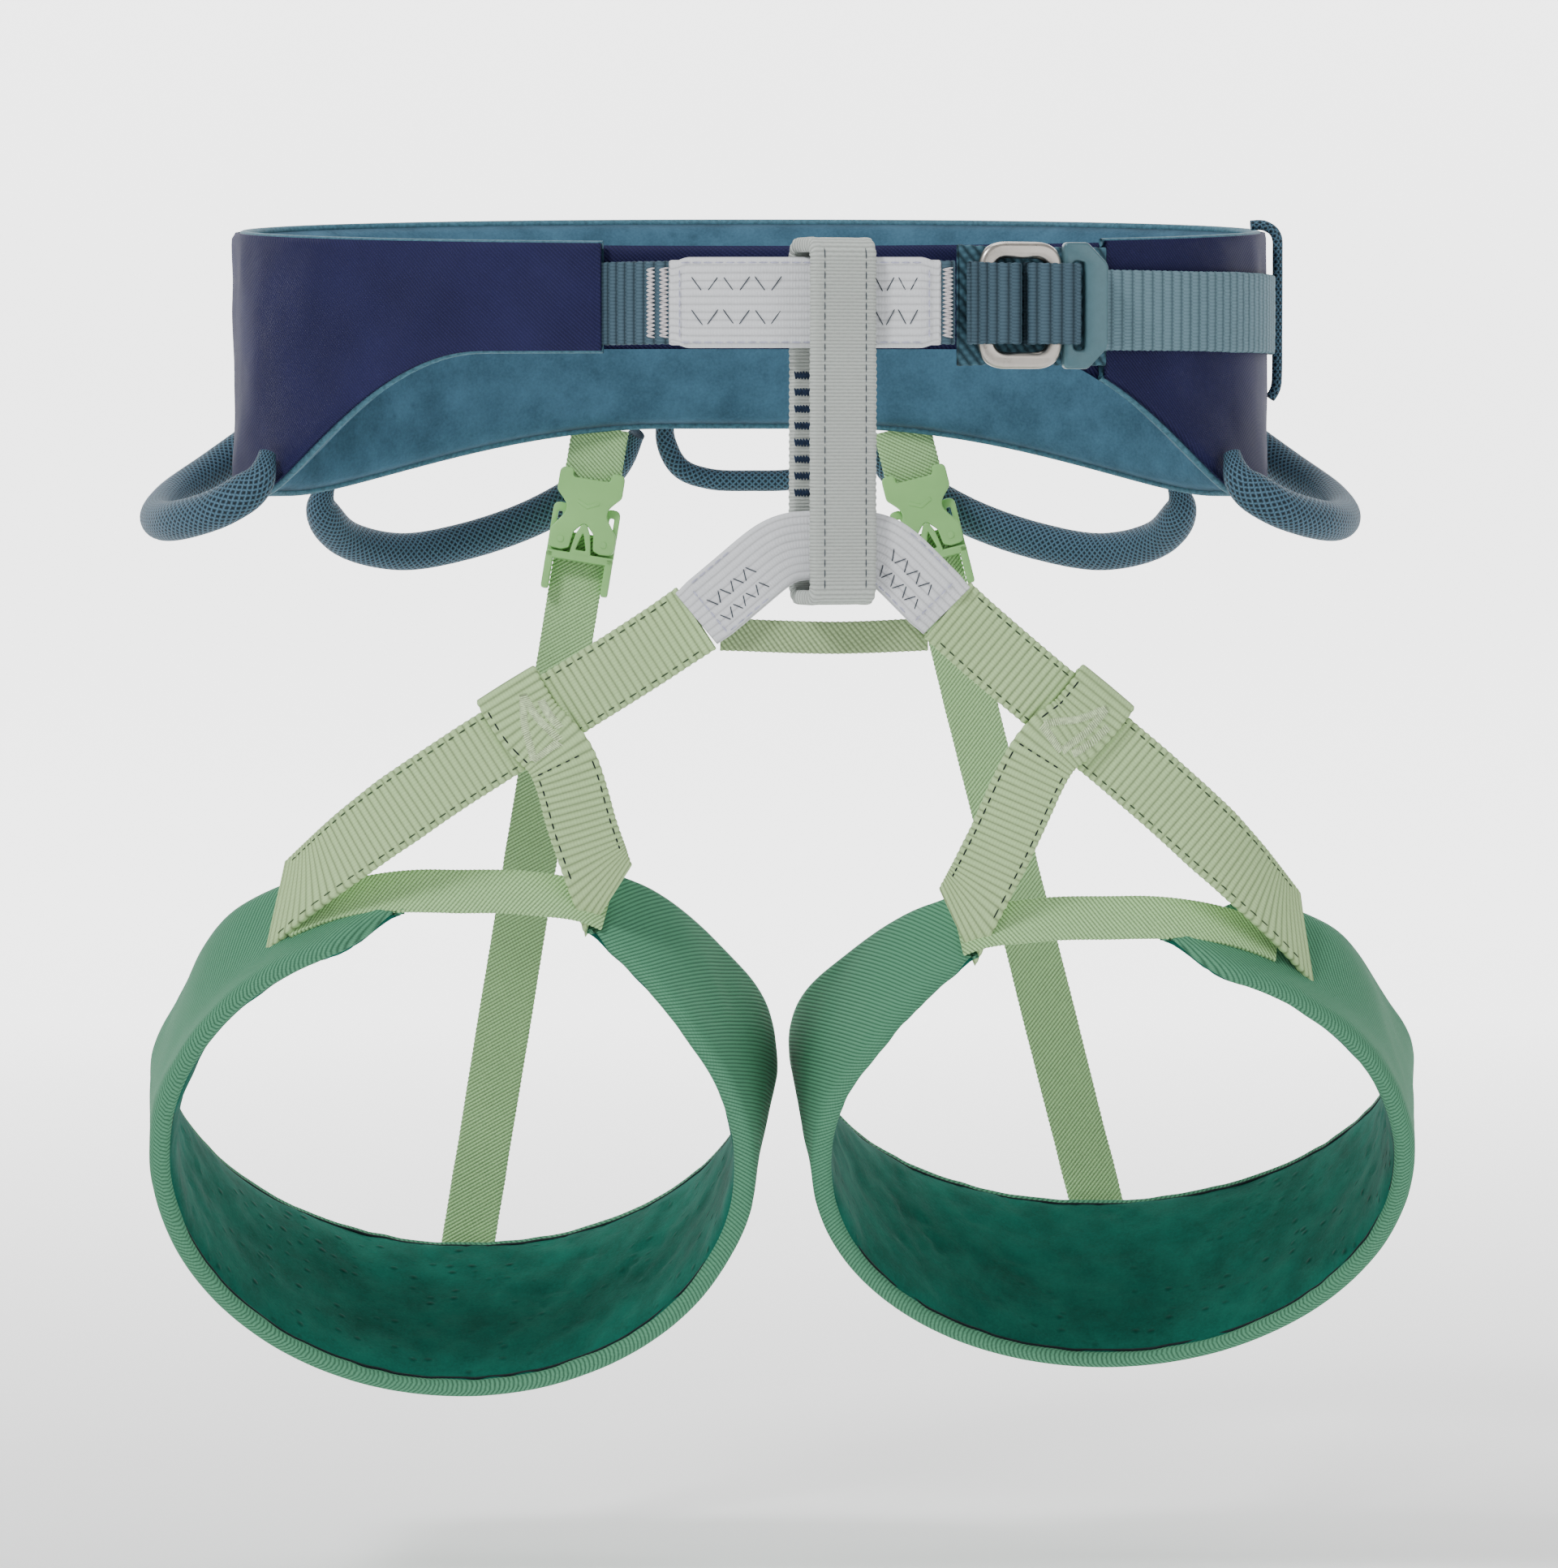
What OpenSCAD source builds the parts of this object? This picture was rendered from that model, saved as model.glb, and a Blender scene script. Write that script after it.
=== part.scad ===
// Sit harness for rock climbing: padded belt, double-back buckle, tie-in points with a belay loop,
// two padded leg loops on webbing arms, rear risers with clip buckles, and five gear loops.
// Origin: centre of the waist opening. +Z up, -Y is the front, +X is the wearer's left.

/* [Belt] */
// Half of the belt's outside width, side to side
belt_half_w = 149.5; // [130:0.5:180]
// Half of the belt's outside depth, front to back
belt_half_d = 92; // [78:0.5:112]
// Squareness of the belt's outline, where 2 is an ellipse
belt_square = 2.2; // [2:0.05:2.6]
// Height of the belt's top edge at the front
belt_top_front = 30; // [26:0.5:36]
// Height of the belt's top edge at the back
belt_top_back = 42; // [36:0.5:55]
// Height of the belt's lower edge at the front
belt_low_front = 0.5; // [-4:0.5:1]
// Height of the belt's lower edge at the sides
belt_low_side = -40; // [-50:0.5:-32]
// Height of the belt's lower edge at the back
belt_low_back = -20; // [-26:0.5:-16]
// Thickness of the outer cover fabric
cover_t = 1.6; // [1:0.1:2.5]
// Thickness of the foam
foam_t = 6; // [4:0.5:9]
// Thickness of the lining fabric
lining_t = 1.4; // [1:0.1:2.5]

/* [Webbing] */
// Width of the tie-in webbing
tie_in_w = 24; // [18:0.5:25]
// Width of the waist webbing in the buckle
waist_web_w = 22.5; // [18:0.5:25]
// Thickness of the load-bearing webbing
web_t = 1.8; // [1.2:0.1:2.4]
// Width of the leg webbing
leg_web_w = 20; // [16:0.5:24]
// Width of the elastic riser straps
riser_w = 16; // [13:0.5:17]
// Width of the front elastics of the leg loops
elastic_w = 12.5; // [10:0.5:15]

/* [Tie-in points] */
// Distance of the tie-in points in front of the belt
tie_in_stand = 10.5; // [10:0.5:15]
// Thickness of a tie-in point's sleeve, webbing included
sleeve_t = 5; // [4:0.5:6]
// Height of the upper tie-in point's middle
upper_z = 13.5; // [10:0.5:16]
// Height of the lower tie-in point's middle, under the belay loop
lower_z = -53; // [-65:0.5:-45]
// Width of the belay loop's webbing
belay_w = 19; // [15:0.5:22]
// Thickness of one side of the belay loop
belay_t = 3.6; // [2.5:0.1:5]
// Turn of the belay loop about the vertical, in degrees
belay_yaw = 20; // [0:1:22]

/* [Buckle] */
// Height of both buckle frames
frame_h = 35; // [32:0.5:42]
// Width of the steel frame
steel_w = 24.5; // [22:0.5:30]
// Width of the coated frame
coated_w = 13; // [12:0.5:16]
// Thickness of both buckle frames
frame_t = 3.2; // [2.4:0.1:4]

/* [Leg loops] */
// Outside radius of a leg loop at its lower edge
leg_r = 86; // [72:0.5:104]
// How much wider the radius is at the upper edge
leg_flare = 9; // [4:0.5:12]
// Width of the pad at the back of the thigh
pad_back_w = 78; // [66:0.5:94]
// Width of the pad at its front ends
pad_end_w = 34; // [30:0.5:40]
// Thickness of the leg pad's foam
leg_foam_t = 4.4; // [3:0.2:6]

/* [Gear loops] */
// Outside diameter of a side gear loop's sheath
gear_d = 11.6; // [9:0.2:13]
// Outside diameter of the rear gear loop's sheath
rear_gear_d = 6.6; // [5:0.2:8]
// Wall of the braided sheath
sheath_wall = 1.4; // [1:0.1:1.8]

/* [Rear clip buckles] */
// Width of a clip buckle across its body
clip_w = 20.5; // [20:0.5:24]
// Thickness of one half of a clip buckle
clip_t = 2.6; // [2:0.1:3.4]
// Length of elastic between the belt and the clip buckle's bar
riser_top_len = 12; // [10:0.5:20]

/* [Hidden] */

// Clearances and small sizes
gap = 0.3;              // between solids that lie on each other
layer_gap = 0.2;        // between the layers of one padded piece
elastic_t = 1.2;        // thickness of the elastic straps
gear_root_out = 3.2;    // how far a gear loop's root stands off the cover
gear_root_r = 2.6;      // radius of a gear loop at its root
rear_root_out = gear_root_out - 0.9;  // the belt curves away from the rear loops
leg_mid_x = 9.3;        // the plane between the two leg loops
leg_gap = 1.4;          // free width between the leg loops
leg_fabric_t = 1.4;     // shell and lining of a leg pad
belt_step = 4;          // degrees between the belt's stations
leg_step = 6;           // degrees between a leg loop's stations

// Layers of the belt, as distances out from its outline
web_out = -cover_t - layer_gap;
foam_out = web_out - web_t - layer_gap;
lining_out = foam_out - foam_t - layer_gap;

// Angles along the belt: 0 is the front, 90 the wearer's left, 180 the back
left_front_turn = -14;
right_front_turn = 40;
side_turn = 95;
foam_start = 2;

// Where the front hardware lies
front_y = -(belt_half_d + tie_in_stand);
sleeve_left = -21;
sleeve_right = 52;
belay_x = 23;
lower_left_x = -14.2;
lower_right_x = 54.2;
buckle_x = 79;
buckle_turn = 17;

// ---------- general shapes ----------

function smooth(a, b, v) = let (t = max(0, min(1, (v - a) / (b - a)))) t * t * (3 - 2 * t);
function unit(v) = v / norm(v);
function mix(a, b, t) = a + (b - a) * t;
function signed_pow(v, p) = sign(v) * pow(abs(v), p);

// Point of a smooth curve through p, at t spans from its start
function curve_at(p, t) =
    let (n = len(p), i = min(n - 2, floor(t)), f = t - i)
    let (a = p[max(0, i - 1)], b = p[i], c = p[i + 1], d = p[min(n - 1, i + 2)])
    0.5 * (2 * b + (c - a) * f + (2 * a - 5 * b + 4 * c - d) * f * f
        + (3 * b - a - 3 * c + d) * f * f * f);
function curve(p, steps) = [for (i = [0:(len(p) - 1) * steps]) curve_at(p, i / steps)];
function tangent(p, i) = unit(p[min(len(p) - 1, i + 1)] - p[max(0, i - 1)]);

// Skin through a list of rings that have the same number of points
module loft(rings, closed = false) {
    rows = len(rings);
    cols = len(rings[0]);
    points = [for (ring = rings) each ring];
    spans = closed ? rows : rows - 1;
    sides = [for (r = [0:spans - 1], c = [0:cols - 1])
        let (n = (r + 1) % rows, d = (c + 1) % cols)
        let (rc = r * cols + c, rd = r * cols + d, nc = n * cols + c, nd = n * cols + d)
        each c < cols / 2 ? [[rc, nd, rd], [rc, nc, nd]] : [[rc, nc, rd], [rd, nc, nd]]];
    first_cap = [for (c = [0:cols - 1]) c];
    last_cap = [for (c = [cols - 1:-1:0]) (rows - 1) * cols + c];
    polyhedron(points, closed ? sides : concat(sides, [first_cap, last_cap]), convexity = 12);
}

// Flat strap along a path. wide holds the direction across the strap at each point.
module strap(path, wide, w, t) {
    loft([for (i = [0:len(path) - 1])
        let (across = unit(wide[i]), face = unit(cross(tangent(path, i), across)))
        [path[i] + across * w / 2 + face * t / 2, path[i] - across * w / 2 + face * t / 2,
         path[i] - across * w / 2 - face * t / 2, path[i] + across * w / 2 - face * t / 2]]);
}

// Directions square to a path that turn as little as they can along it
function carried(path, a, i = 0) = i == len(path) ? []
    : let (along = tangent(path, i), b = unit(a - (a * along) * along))
        concat([b], carried(path, b, i + 1));

// Round cord along a path
module cord(path, radii, sides = 8) {
    squares = carried(path, [0.31, 0.22, 0.93]);
    loft([for (i = [0:len(path) - 1])
        let (a = squares[i], b = cross(tangent(path, i), a))
        [for (k = [0:sides - 1])
            path[i] + radii[i] * (cos(360 * k / sides) * a + sin(360 * k / sides) * b)]]);
}

// ---------- belt ----------

function belt_xy(turn, out) = [
    (belt_half_w + out) * signed_pow(sin(turn), 2 / belt_square),
    -(belt_half_d + out) * signed_pow(cos(turn), 2 / belt_square)];
function belt_at(turn, out, z) = concat(belt_xy(turn, out), [z]);
function belt_top(turn) = mix(belt_top_front, belt_top_back, (1 - cos(turn)) / 2);
function belt_low(turn) =
    mix(mix(belt_low_front, belt_low_side, smooth(28, 72, abs(turn))),
        belt_low_back, smooth(112, 172, abs(turn)));
function fold_turn(turn) = turn > 180 ? 360 - turn : turn;

// A layer of the belt between two angles, from in to out, trimmed at its top and lower edges
module belt_layer(from, to, in, out, trim = 0) {
    count = ceil((to - from) / belt_step);
    loft([for (i = [0:count])
        let (turn = mix(from, to, i / count), side = fold_turn(turn))
        let (top = belt_top(side) - trim, low = belt_low(side) + trim)
        [belt_at(turn, out, top), belt_at(turn, out, low),
         belt_at(turn, in, low), belt_at(turn, in, top)]]);
}

// Webbing that lies along the belt, its middle line at height z
module belt_band(from, to, in, out, z, w) {
    count = ceil((to - from) / belt_step);
    loft([for (i = [0:count])
        let (turn = mix(from, to, i / count))
        [belt_at(turn, out, z + w / 2), belt_at(turn, out, z - w / 2),
         belt_at(turn, in, z - w / 2), belt_at(turn, in, z + w / 2)]]);
}

module belt_cover_left() {
    color("#34345c") belt_layer(-side_turn, left_front_turn, -cover_t, 0);
}

module belt_cover_right() {
    color("#34345c") belt_layer(right_front_turn, side_turn, -cover_t, 0);
}

module belt_cover_back() {
    seam = 0.2;
    color("#30305a") belt_layer(side_turn + seam, 360 - side_turn - seam, -cover_t, 0);
}

module belt_foam() {
    edge = 1.5;
    color("#555a66")
        belt_layer(right_front_turn + foam_start, 360 + left_front_turn - foam_start,
            foam_out - foam_t, foam_out, edge);
}

module belt_lining() {
    color("#4f8693")
        belt_layer(right_front_turn, 360 + left_front_turn, lining_out - lining_t, lining_out);
}

// Thin flap that closes the belt behind the tie-in point and the buckle
module front_tongue() {
    tongue_out = -4.5;
    tongue_t = 3;
    under = foam_start - 0.25;
    color("#2b2c4b")
        belt_layer(left_front_turn - under, right_front_turn + under,
            tongue_out - tongue_t, tongue_out, 0.5);
}

// Load webbing sewn in between the cover and the foam
module load_webbing() {
    color("#3f5866")
        belt_band(right_front_turn + 1, 360 + left_front_turn - 6, web_out - web_t, web_out,
            upper_z + 0.5, tie_in_w);
}

// ---------- tie-in points ----------

// Height above the middle line is the same all along, so the strap's width stays upright
function upright(path) = [for (p = path) [0, 0, 1]];

tie_in_path = curve([
    belt_at(left_front_turn - 5.5, web_out - web_t / 2, upper_z),
    belt_at(left_front_turn - 1, web_out - web_t / 2, upper_z),
    belt_at(left_front_turn + 0.6, web_out - web_t / 2, upper_z),
    [-31, front_y + 8, upper_z], [sleeve_left, front_y + 2, upper_z], [-4, front_y, upper_z],
    [belay_x, front_y, upper_z], [sleeve_right, front_y + 0.4, upper_z],
    [sleeve_right + 4, front_y + 1.5, upper_z]], 3);
upper_sleeve_h = tie_in_w + 2 * gap + 1.6;
lower_sleeve_h = leg_web_w + 0.2;

module tie_in_webbing() {
    color("#4a6472") strap(tie_in_path, upright(tie_in_path), tie_in_w, web_t);
}

// White sleeve round the webbing, open at both ends
module upper_tie_in_sleeve() {
    path = [for (i = [12:21]) tie_in_path[i]];
    last = len(path) - 1;
    past = 1.5;
    hollow = concat([path[0] - past * tangent(path, 0)], path,
        [path[last] + past * tangent(path, last)]);
    color("#d5d7db")
        difference() {
            strap(path, upright(path), upper_sleeve_h, sleeve_t);
            strap(hollow, upright(hollow), tie_in_w + 2 * gap, web_t + 2 * gap);
        }
}

// Saddle shape of the lower tie-in point: flat under the belay loop, falling to both sides
saddle_drop = 20;
function saddle_z(x) = lower_z - saddle_drop * pow(smooth(12, 37, abs(x - belay_x)), 0.8);
function saddle_points(past, count) =
    [for (i = [0:count])
        let (x = mix(lower_left_x - past, lower_right_x + past, i / count))
        [x, front_y, saddle_z(x)]];

module lower_tie_in_webbing() {
    path = saddle_points(-0.4, 16);
    color("#b9c79c") strap(path, upright(path), leg_web_w - 2, web_t);
}

module lower_tie_in_sleeve() {
    path = saddle_points(0, 16);
    hollow = saddle_points(1.5, 16);
    color("#d5d7db")
        difference() {
            strap(path, upright(path), lower_sleeve_h, sleeve_t);
            strap(hollow, upright(hollow), leg_web_w - 1.2, web_t + 2.5 * gap);
        }
}

// Sewn ring of webbing round both tie-in points
module belay_loop() {
    inner_d = (sleeve_t + belay_w * sin(belay_yaw)) / cos(belay_yaw) + 2 * gap;
    play = 0.8;
    top = upper_z + upper_sleeve_h / 2 + play;
    low = lower_z - lower_sleeve_h / 2 - 3 * play;
    height = top - low;
    corner = 1.6;
    color("#c9c8c4")
        translate([belay_x, front_y, (top + low) / 2])
        rotate([0, 0, belay_yaw])
        rotate([0, 90, 0])
        translate([0, 0, -belay_w / 2])
        linear_extrude(belay_w)
        difference() {
            rounded_bar(height + 2 * belay_t, inner_d + 2 * belay_t, corner + belay_t);
            rounded_bar(height, inner_d, corner);
        }
}

// Rectangle with round corners, long in X
module rounded_bar(length, width, r) {
    square([length - 2 * r, width], center = true);
    square([length, width - 2 * r], center = true);
    for (sx = [-1, 1], sy = [-1, 1])
        translate([sx * (length / 2 - r), sy * (width / 2 - r)])
            circle(r, $fn = 48);
}

// Narrow strap that ties the two arms together behind the lower tie-in point
module bridge_strap() {
    bridge_w = 9;
    y = front_y + sleeve_t / 2 + elastic_t / 2 + gap;
    path = [[lower_left_x + 5, y, lower_z - 24.5], [belay_x, y, lower_z - 25.5],
        [lower_right_x - 5, y, lower_z - 24.5]];
    color("#a9b98f") strap(path, upright(path), bridge_w, elastic_t);
}

// ---------- waist buckle ----------

buckle_y = belt_xy(30, 0)[1];
strand_y = -(tie_in_stand - 0.2);

// Point of the belt's outline as it stands in the buckle's own frame
function belt_at_buckle(turn, out) =
    let (d = belt_xy(turn, out) - [buckle_x, buckle_y])
    [d[0] * cos(buckle_turn) + d[1] * sin(buckle_turn),
     d[1] * cos(buckle_turn) - d[0] * sin(buckle_turn)];

module at_buckle() {
    translate([buckle_x, buckle_y, upper_z - 0.5])
        rotate([0, 0, buckle_turn])
        children();
}

// Plate standing in the XZ plane, drawn as [x, z], from y = front to front + t
module plate(front, t) {
    translate([0, front + t, 0])
        rotate([90, 0, 0])
        linear_extrude(t)
        children();
}

frame_front = -7.9;
steel_right = 6;
coated_left = steel_right + gap;
coated_right = coated_left + coated_w;

module buckle_steel_frame() {
    bar = 4.6;
    corner = 8;
    color("#b9b4ae")
        at_buckle()
        plate(frame_front, frame_t)
        translate([steel_right - steel_w / 2, 0])
        difference() {
            rounded_bar(steel_w, frame_h, corner);
            rounded_bar(steel_w - 2 * bar, frame_h - 2 * bar, corner - bar);
        }
}

module buckle_coated_frame() {
    chamfer = 6;
    slot_w = 3.4;
    slot_left = coated_left + 2.7;
    h = frame_h / 2;
    color("#6d8a92")
        at_buckle()
        plate(frame_front, frame_t)
        difference() {
            polygon([[coated_left, -h], [coated_right - chamfer, -h],
                [coated_right, -h + chamfer], [coated_right, h - chamfer],
                [coated_right - chamfer, h], [coated_left, h]]);
            translate([slot_left, -waist_web_w / 2 - 1])
                square([slot_w, waist_web_w + 2]);
        }
}

// The two strands of webbing that pass over the bars of the frames
module buckle_webbing() {
    strand_out = frame_front - gap - web_t / 2;
    first = curve([[-23, strand_y - 1.6, 0.5], [-16, strand_out, 0.5], [-9.5, strand_out, 0.5],
        [-7.2, strand_out + 1.6, 0.5], [-6.6, frame_front + 2.5, 0.5], [-6.6, -3.2, 0.5]], 3);
    second = curve([[-3.6, -3.2, 0.5], [-3.6, frame_front + 2.5, 0.5], [-2.6, strand_out + 1, 0.5],
        [0, strand_out, 0.5], [6.5, strand_out, 0.5], [9.7, strand_out + 0.2, 0.5],
        [10.7, frame_front + 1.6, 0.5], [10.7, -4.4, 0.5]], 3);
    color("#4a6472")
        at_buckle() {
            strap(first, upright(first), waist_web_w, web_t);
            strap(second, upright(second), waist_web_w, web_t - 0.4);
        }
}

// Textured tape that carries the steel frame and is sewn to the edge of the belt behind both frames
module buckle_anchor_strap() {
    edge = belt_at_buckle(right_front_turn, -cover_t / 2);
    path = curve([[-23.5, -3.5, 0], [-14, -3.5, 0], [-8, -1.6, 0], [0, -0.4, 0],
        [10, 0.6, 0], [edge[0] - 2 * gap, edge[1], 0]], 3);
    color("#48606b")
        at_buckle()
        strap(path, upright(path), frame_h - 2, web_t);
}

// Free end of the waist webbing, along the belt's left side
module waist_webbing_tail() {
    tail_out = gap;
    tail_end = 112;
    color("#6f8a93")
        belt_band(37, tail_end, tail_out, tail_out + web_t, upper_z - 1.5, waist_web_w);
}

module tail_keeper_cord() {
    keeper_turn = 93;
    r = 1.5;
    top = belt_top(keeper_turn);
    hang = gap + web_t + gap + r;
    path = curve([for (p = [[-4, top + 1.8], [0, top + 1.8], [hang - 0.4, top - 1], [hang, top - 8],
        [hang, 6], [hang, -4], [hang - 0.4, -9], [r + gap, -12]])
        belt_at(keeper_turn, p[0], p[1])], 3);
    color("#3f5866") cord(path, [for (p = path) r]);
}

// ---------- gear loops ----------

// Routes as [turn along the belt, distance out, height above the belt's lower side edge]
front_gear_route = [[62, gear_root_out, 12], [61, 7.5, 4], [65, 14, -3], [75, 19, -7],
    [87, 21.5, -6.5], [99, 21.5, -1], [109, 18, 7], [116, 13, 16], [119, 7.5, 23], [120, gear_root_out, 27]];
rear_gear_route = [[125, rear_root_out, 3], [127, 8.5, -5], [134, 15.5, -14], [143, 19.5, -18],
    [151, 20, -15], [158, 18, -8.5], [163.5, 14, 0.5], [167, 8.5, 10], [168.6, rear_root_out, 18]];
centre_gear_route = [[171.8, gear_root_out, 26], [171.9, 6.5, 16], [173.5, 9, 7.5], [176.5, 10, 4],
    [180, 10, 3.5], [183.5, 10, 4], [186.5, 9, 7.5], [188.1, 6.5, 16], [188.2, gear_root_out, 26]];

// Radius along a gear loop that narrows to its sewn roots
function gear_radii(count, r) =
    [for (i = [0:count - 1]) mix(min(r, gear_root_r), r, smooth(0, 3, min(i, count - 1 - i)))];

function gear_path(route) = curve([for (p = route) belt_at(p[0], p[1], belt_low_side + p[2])], 2);

module gear_sheath(route, r) {
    path = gear_path(route);
    count = len(path);
    radii = gear_radii(count, r);
    inner = [for (i = [2:count - 3]) path[i]];
    inner_radii = [for (i = [2:count - 3]) radii[i] - sheath_wall];
    difference() {
        cord(path, radii);
        cord(inner, inner_radii);
    }
}

module gear_core(route, r) {
    path = gear_path(route);
    count = len(path);
    radii = gear_radii(count, r);
    inner = [for (i = [3:count - 4]) path[i]];
    inner_radii = [for (i = [3:count - 4]) radii[i] - sheath_wall - layer_gap];
    cord(inner, inner_radii);
}

module gear_loop_front_right() {
    color("#5b7787") gear_sheath(front_gear_route, gear_d / 2);
}

module gear_loop_front_left() {
    color("#5b7787") mirror([1, 0, 0]) gear_sheath(front_gear_route, gear_d / 2);
}

module gear_loop_rear_right() {
    color("#5b7787") gear_sheath(rear_gear_route, gear_d / 2);
}

module gear_loop_rear_left() {
    color("#5b7787") mirror([1, 0, 0]) gear_sheath(rear_gear_route, gear_d / 2);
}

module gear_loop_centre() {
    color("#5b7787") gear_sheath(centre_gear_route, rear_gear_d / 2);
}

module gear_core_front_right() {
    color("#202428") gear_core(front_gear_route, gear_d / 2);
}

module gear_core_front_left() {
    color("#202428") mirror([1, 0, 0]) gear_core(front_gear_route, gear_d / 2);
}

module gear_core_rear_right() {
    color("#202428") gear_core(rear_gear_route, gear_d / 2);
}

module gear_core_rear_left() {
    color("#202428") mirror([1, 0, 0]) gear_core(rear_gear_route, gear_d / 2);
}

module gear_core_centre() {
    color("#202428") gear_core(centre_gear_route, rear_gear_d / 2);
}

// ---------- leg loops ----------
// side is -1 for the wearer's right leg, which is at -X, and 1 for the left leg.
// Names call -X left and +X right, as the harness is seen from the front.

leg_tilt = [32, 36];
leg_height = [1, 0.93];
leg_drop = [-230.5, -231];
leg_set_back = [51, 55];
arm_pinch = 22;
inner_pinch = [6, 8];
pad_from = 8;
pad_to = 332;
pad_seam = 30;

function leg_index(side) = side < 0 ? 0 : 1;
function leg_axis(side) = let (t = leg_tilt[leg_index(side)]) [0, -cos(t), -sin(t)];
function leg_up(side) = let (t = leg_tilt[leg_index(side)]) [0, -sin(t), cos(t)];
function leg_centre(side) = [
    leg_mid_x + side * (leg_r + leg_flare * 0.8 + leg_gap / 2),
    front_y + leg_set_back[leg_index(side)], leg_drop[leg_index(side)]];

// Point on a leg loop: around is 0 at the front and grows outwards, back is the distance up
// from the loop's lower edge, out is the distance outside the shell
function leg_at(side, around, back, out) =
    let (i = leg_index(side), turn = (around + 360) % 360, seam = smooth(336, 360, turn))
    let (pinch = arm_pinch * (smooth(105, 50, turn) + seam)
        + inner_pinch[i] * (smooth(280, 320, turn) - seam))
    let (r = leg_r + (leg_flare - pinch) * back / pad_back_w + out)
    leg_centre(side) - back * leg_axis(side)
        + r * (side * sin(around) * [1, 0, 0] + leg_height[i] * cos(around) * leg_up(side));

// Lower and upper edges of the pad at an angle
function pad_low(around) = 12 * (1 - smooth(pad_from, 24, around)) + 12 * smooth(300, pad_to, around);
function pad_high(around) = around < pad_seam
    ? mix(16, pad_end_w, smooth(pad_from, pad_seam, around))
    : pad_end_w + (pad_back_w - pad_end_w)
        * pow(sin(180 * (around - pad_seam) / (pad_to - pad_seam)), 1.2);

module leg_layer(side, in, out, trim = 0) {
    count = ceil((pad_to - pad_from) / leg_step);
    rings = [for (i = [0:count])
        let (around = mix(pad_from + trim, pad_to - trim, i / count))
        let (low = pad_low(around) + trim, high = pad_high(around) - trim)
        [leg_at(side, around, high, out), leg_at(side, around, low, out),
         leg_at(side, around, low, in), leg_at(side, around, high, in)]];
    loft(side > 0 ? rings : [for (r = rings) [r[3], r[2], r[1], r[0]]]);
}

leg_layer_gap = 0.35;       // wider than on the belt, as the pads are cones
leg_foam_out = -leg_fabric_t - leg_layer_gap;
leg_lining_out = leg_foam_out - leg_foam_t - leg_layer_gap;

module leg_shell(side) {
    color("#5f9279") leg_layer(side, -leg_fabric_t, 0);
}

module leg_foam(side) {
    color("#55605a") leg_layer(side, leg_foam_out - leg_foam_t, leg_foam_out, 1.2);
}

module leg_lining(side) {
    color("#1f6a5c") leg_layer(side, leg_lining_out - leg_fabric_t, leg_lining_out);
}

module leg_shell_left() { leg_shell(-1); }
module leg_shell_right() { leg_shell(1); }
module leg_foam_left() { leg_foam(-1); }
module leg_foam_right() { leg_foam(1); }
module leg_lining_left() { leg_lining(-1); }
module leg_lining_right() { leg_lining(1); }

// The long arm runs from the lower tie-in point to the pad's outer end, bowed forwards
arm_tip_around = [32, 36];
arm_tip_back = 22;
arm_bow = [0, -9, 4];
function arm_start(side) =
    let (x = side < 0 ? lower_left_x : lower_right_x)
    [x + side * gap, front_y, saddle_z(x)];
function arm_end(side) = leg_at(side, arm_tip_around[leg_index(side)], arm_tip_back, elastic_t + 5.8);
function arm_at(side, t) = mix(arm_start(side), arm_end(side), t) + 6.75 * t * t * (1 - t) * arm_bow;

// Direction across the arm: upright at the sleeve, square to the arm, then along the pad
function arm_wide(side, t) =
    let (square_up = unit([side * 0.5, 0, 0.85]))
    t < 0.2 ? mix([0, 0, 1], square_up, t / 0.2)
        : mix(square_up, unit([side * 0.1, 0.45, 0.9]), smooth(0.6, 1, t));

module leg_arm(side) {
    count = 16;
    path = [for (i = [0:count]) arm_at(side, i / count)];
    wide = [for (i = [0:count]) arm_wide(side, i / count)];
    color("#b9c79c") strap(path, wide, leg_web_w, web_t);
}

module leg_arm_left() { leg_arm(-1); }
module leg_arm_right() { leg_arm(1); }

// The branch folds over the arm and runs to the pad's inner end
cross_t = [0.39, 0.36];
branch_tip_around = -29;
module leg_branch(side) {
    t = cross_t[leg_index(side)];
    along = unit(arm_at(side, t + 0.05) - arm_at(side, t - 0.05));
    up = unit(arm_wide(side, t) - (arm_wide(side, t) * along) * along);
    front = -side * cross(up, along);
    crossing = arm_at(side, t) + (web_t + 0.5) * front;
    tip = leg_at(side, branch_tip_around, 17, elastic_t + 5.6);
    tip_across = unit([0.9, 0, side * -0.35]);
    arm_across = side * along;
    path = curve([crossing + 11 * up, crossing, crossing - 12.5 * up - side * 2.5 * [1, 0, 0],
        mix(crossing, tip, 0.6) + [side * -2, -3, 0], tip], 4);
    last = len(path) - 1;
    color("#b3c296")
        strap(path, [for (i = [0:last]) mix(arm_across, tip_across, smooth(5, last, i))],
            leg_web_w - 1, web_t - 0.2);
}

module leg_branch_left() { leg_branch(-1); }
module leg_branch_right() { leg_branch(1); }

// Elastic that closes the leg loop at the front
module leg_elastic(side) {
    from = -24;
    to = 30;
    middle = 18;
    count = 10;
    low = middle - elastic_w / 2;
    high = middle + elastic_w / 2;
    rings = [for (i = [0:count])
        let (around = mix(from, to, i / count))
        [leg_at(side, around, high, gap + elastic_t), leg_at(side, around, low, gap + elastic_t),
         leg_at(side, around, low, gap), leg_at(side, around, high, gap)]];
    color("#a9cf95")
        loft(side > 0 ? rings : [for (r = rings) [r[3], r[2], r[1], r[0]]]);
}

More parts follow.
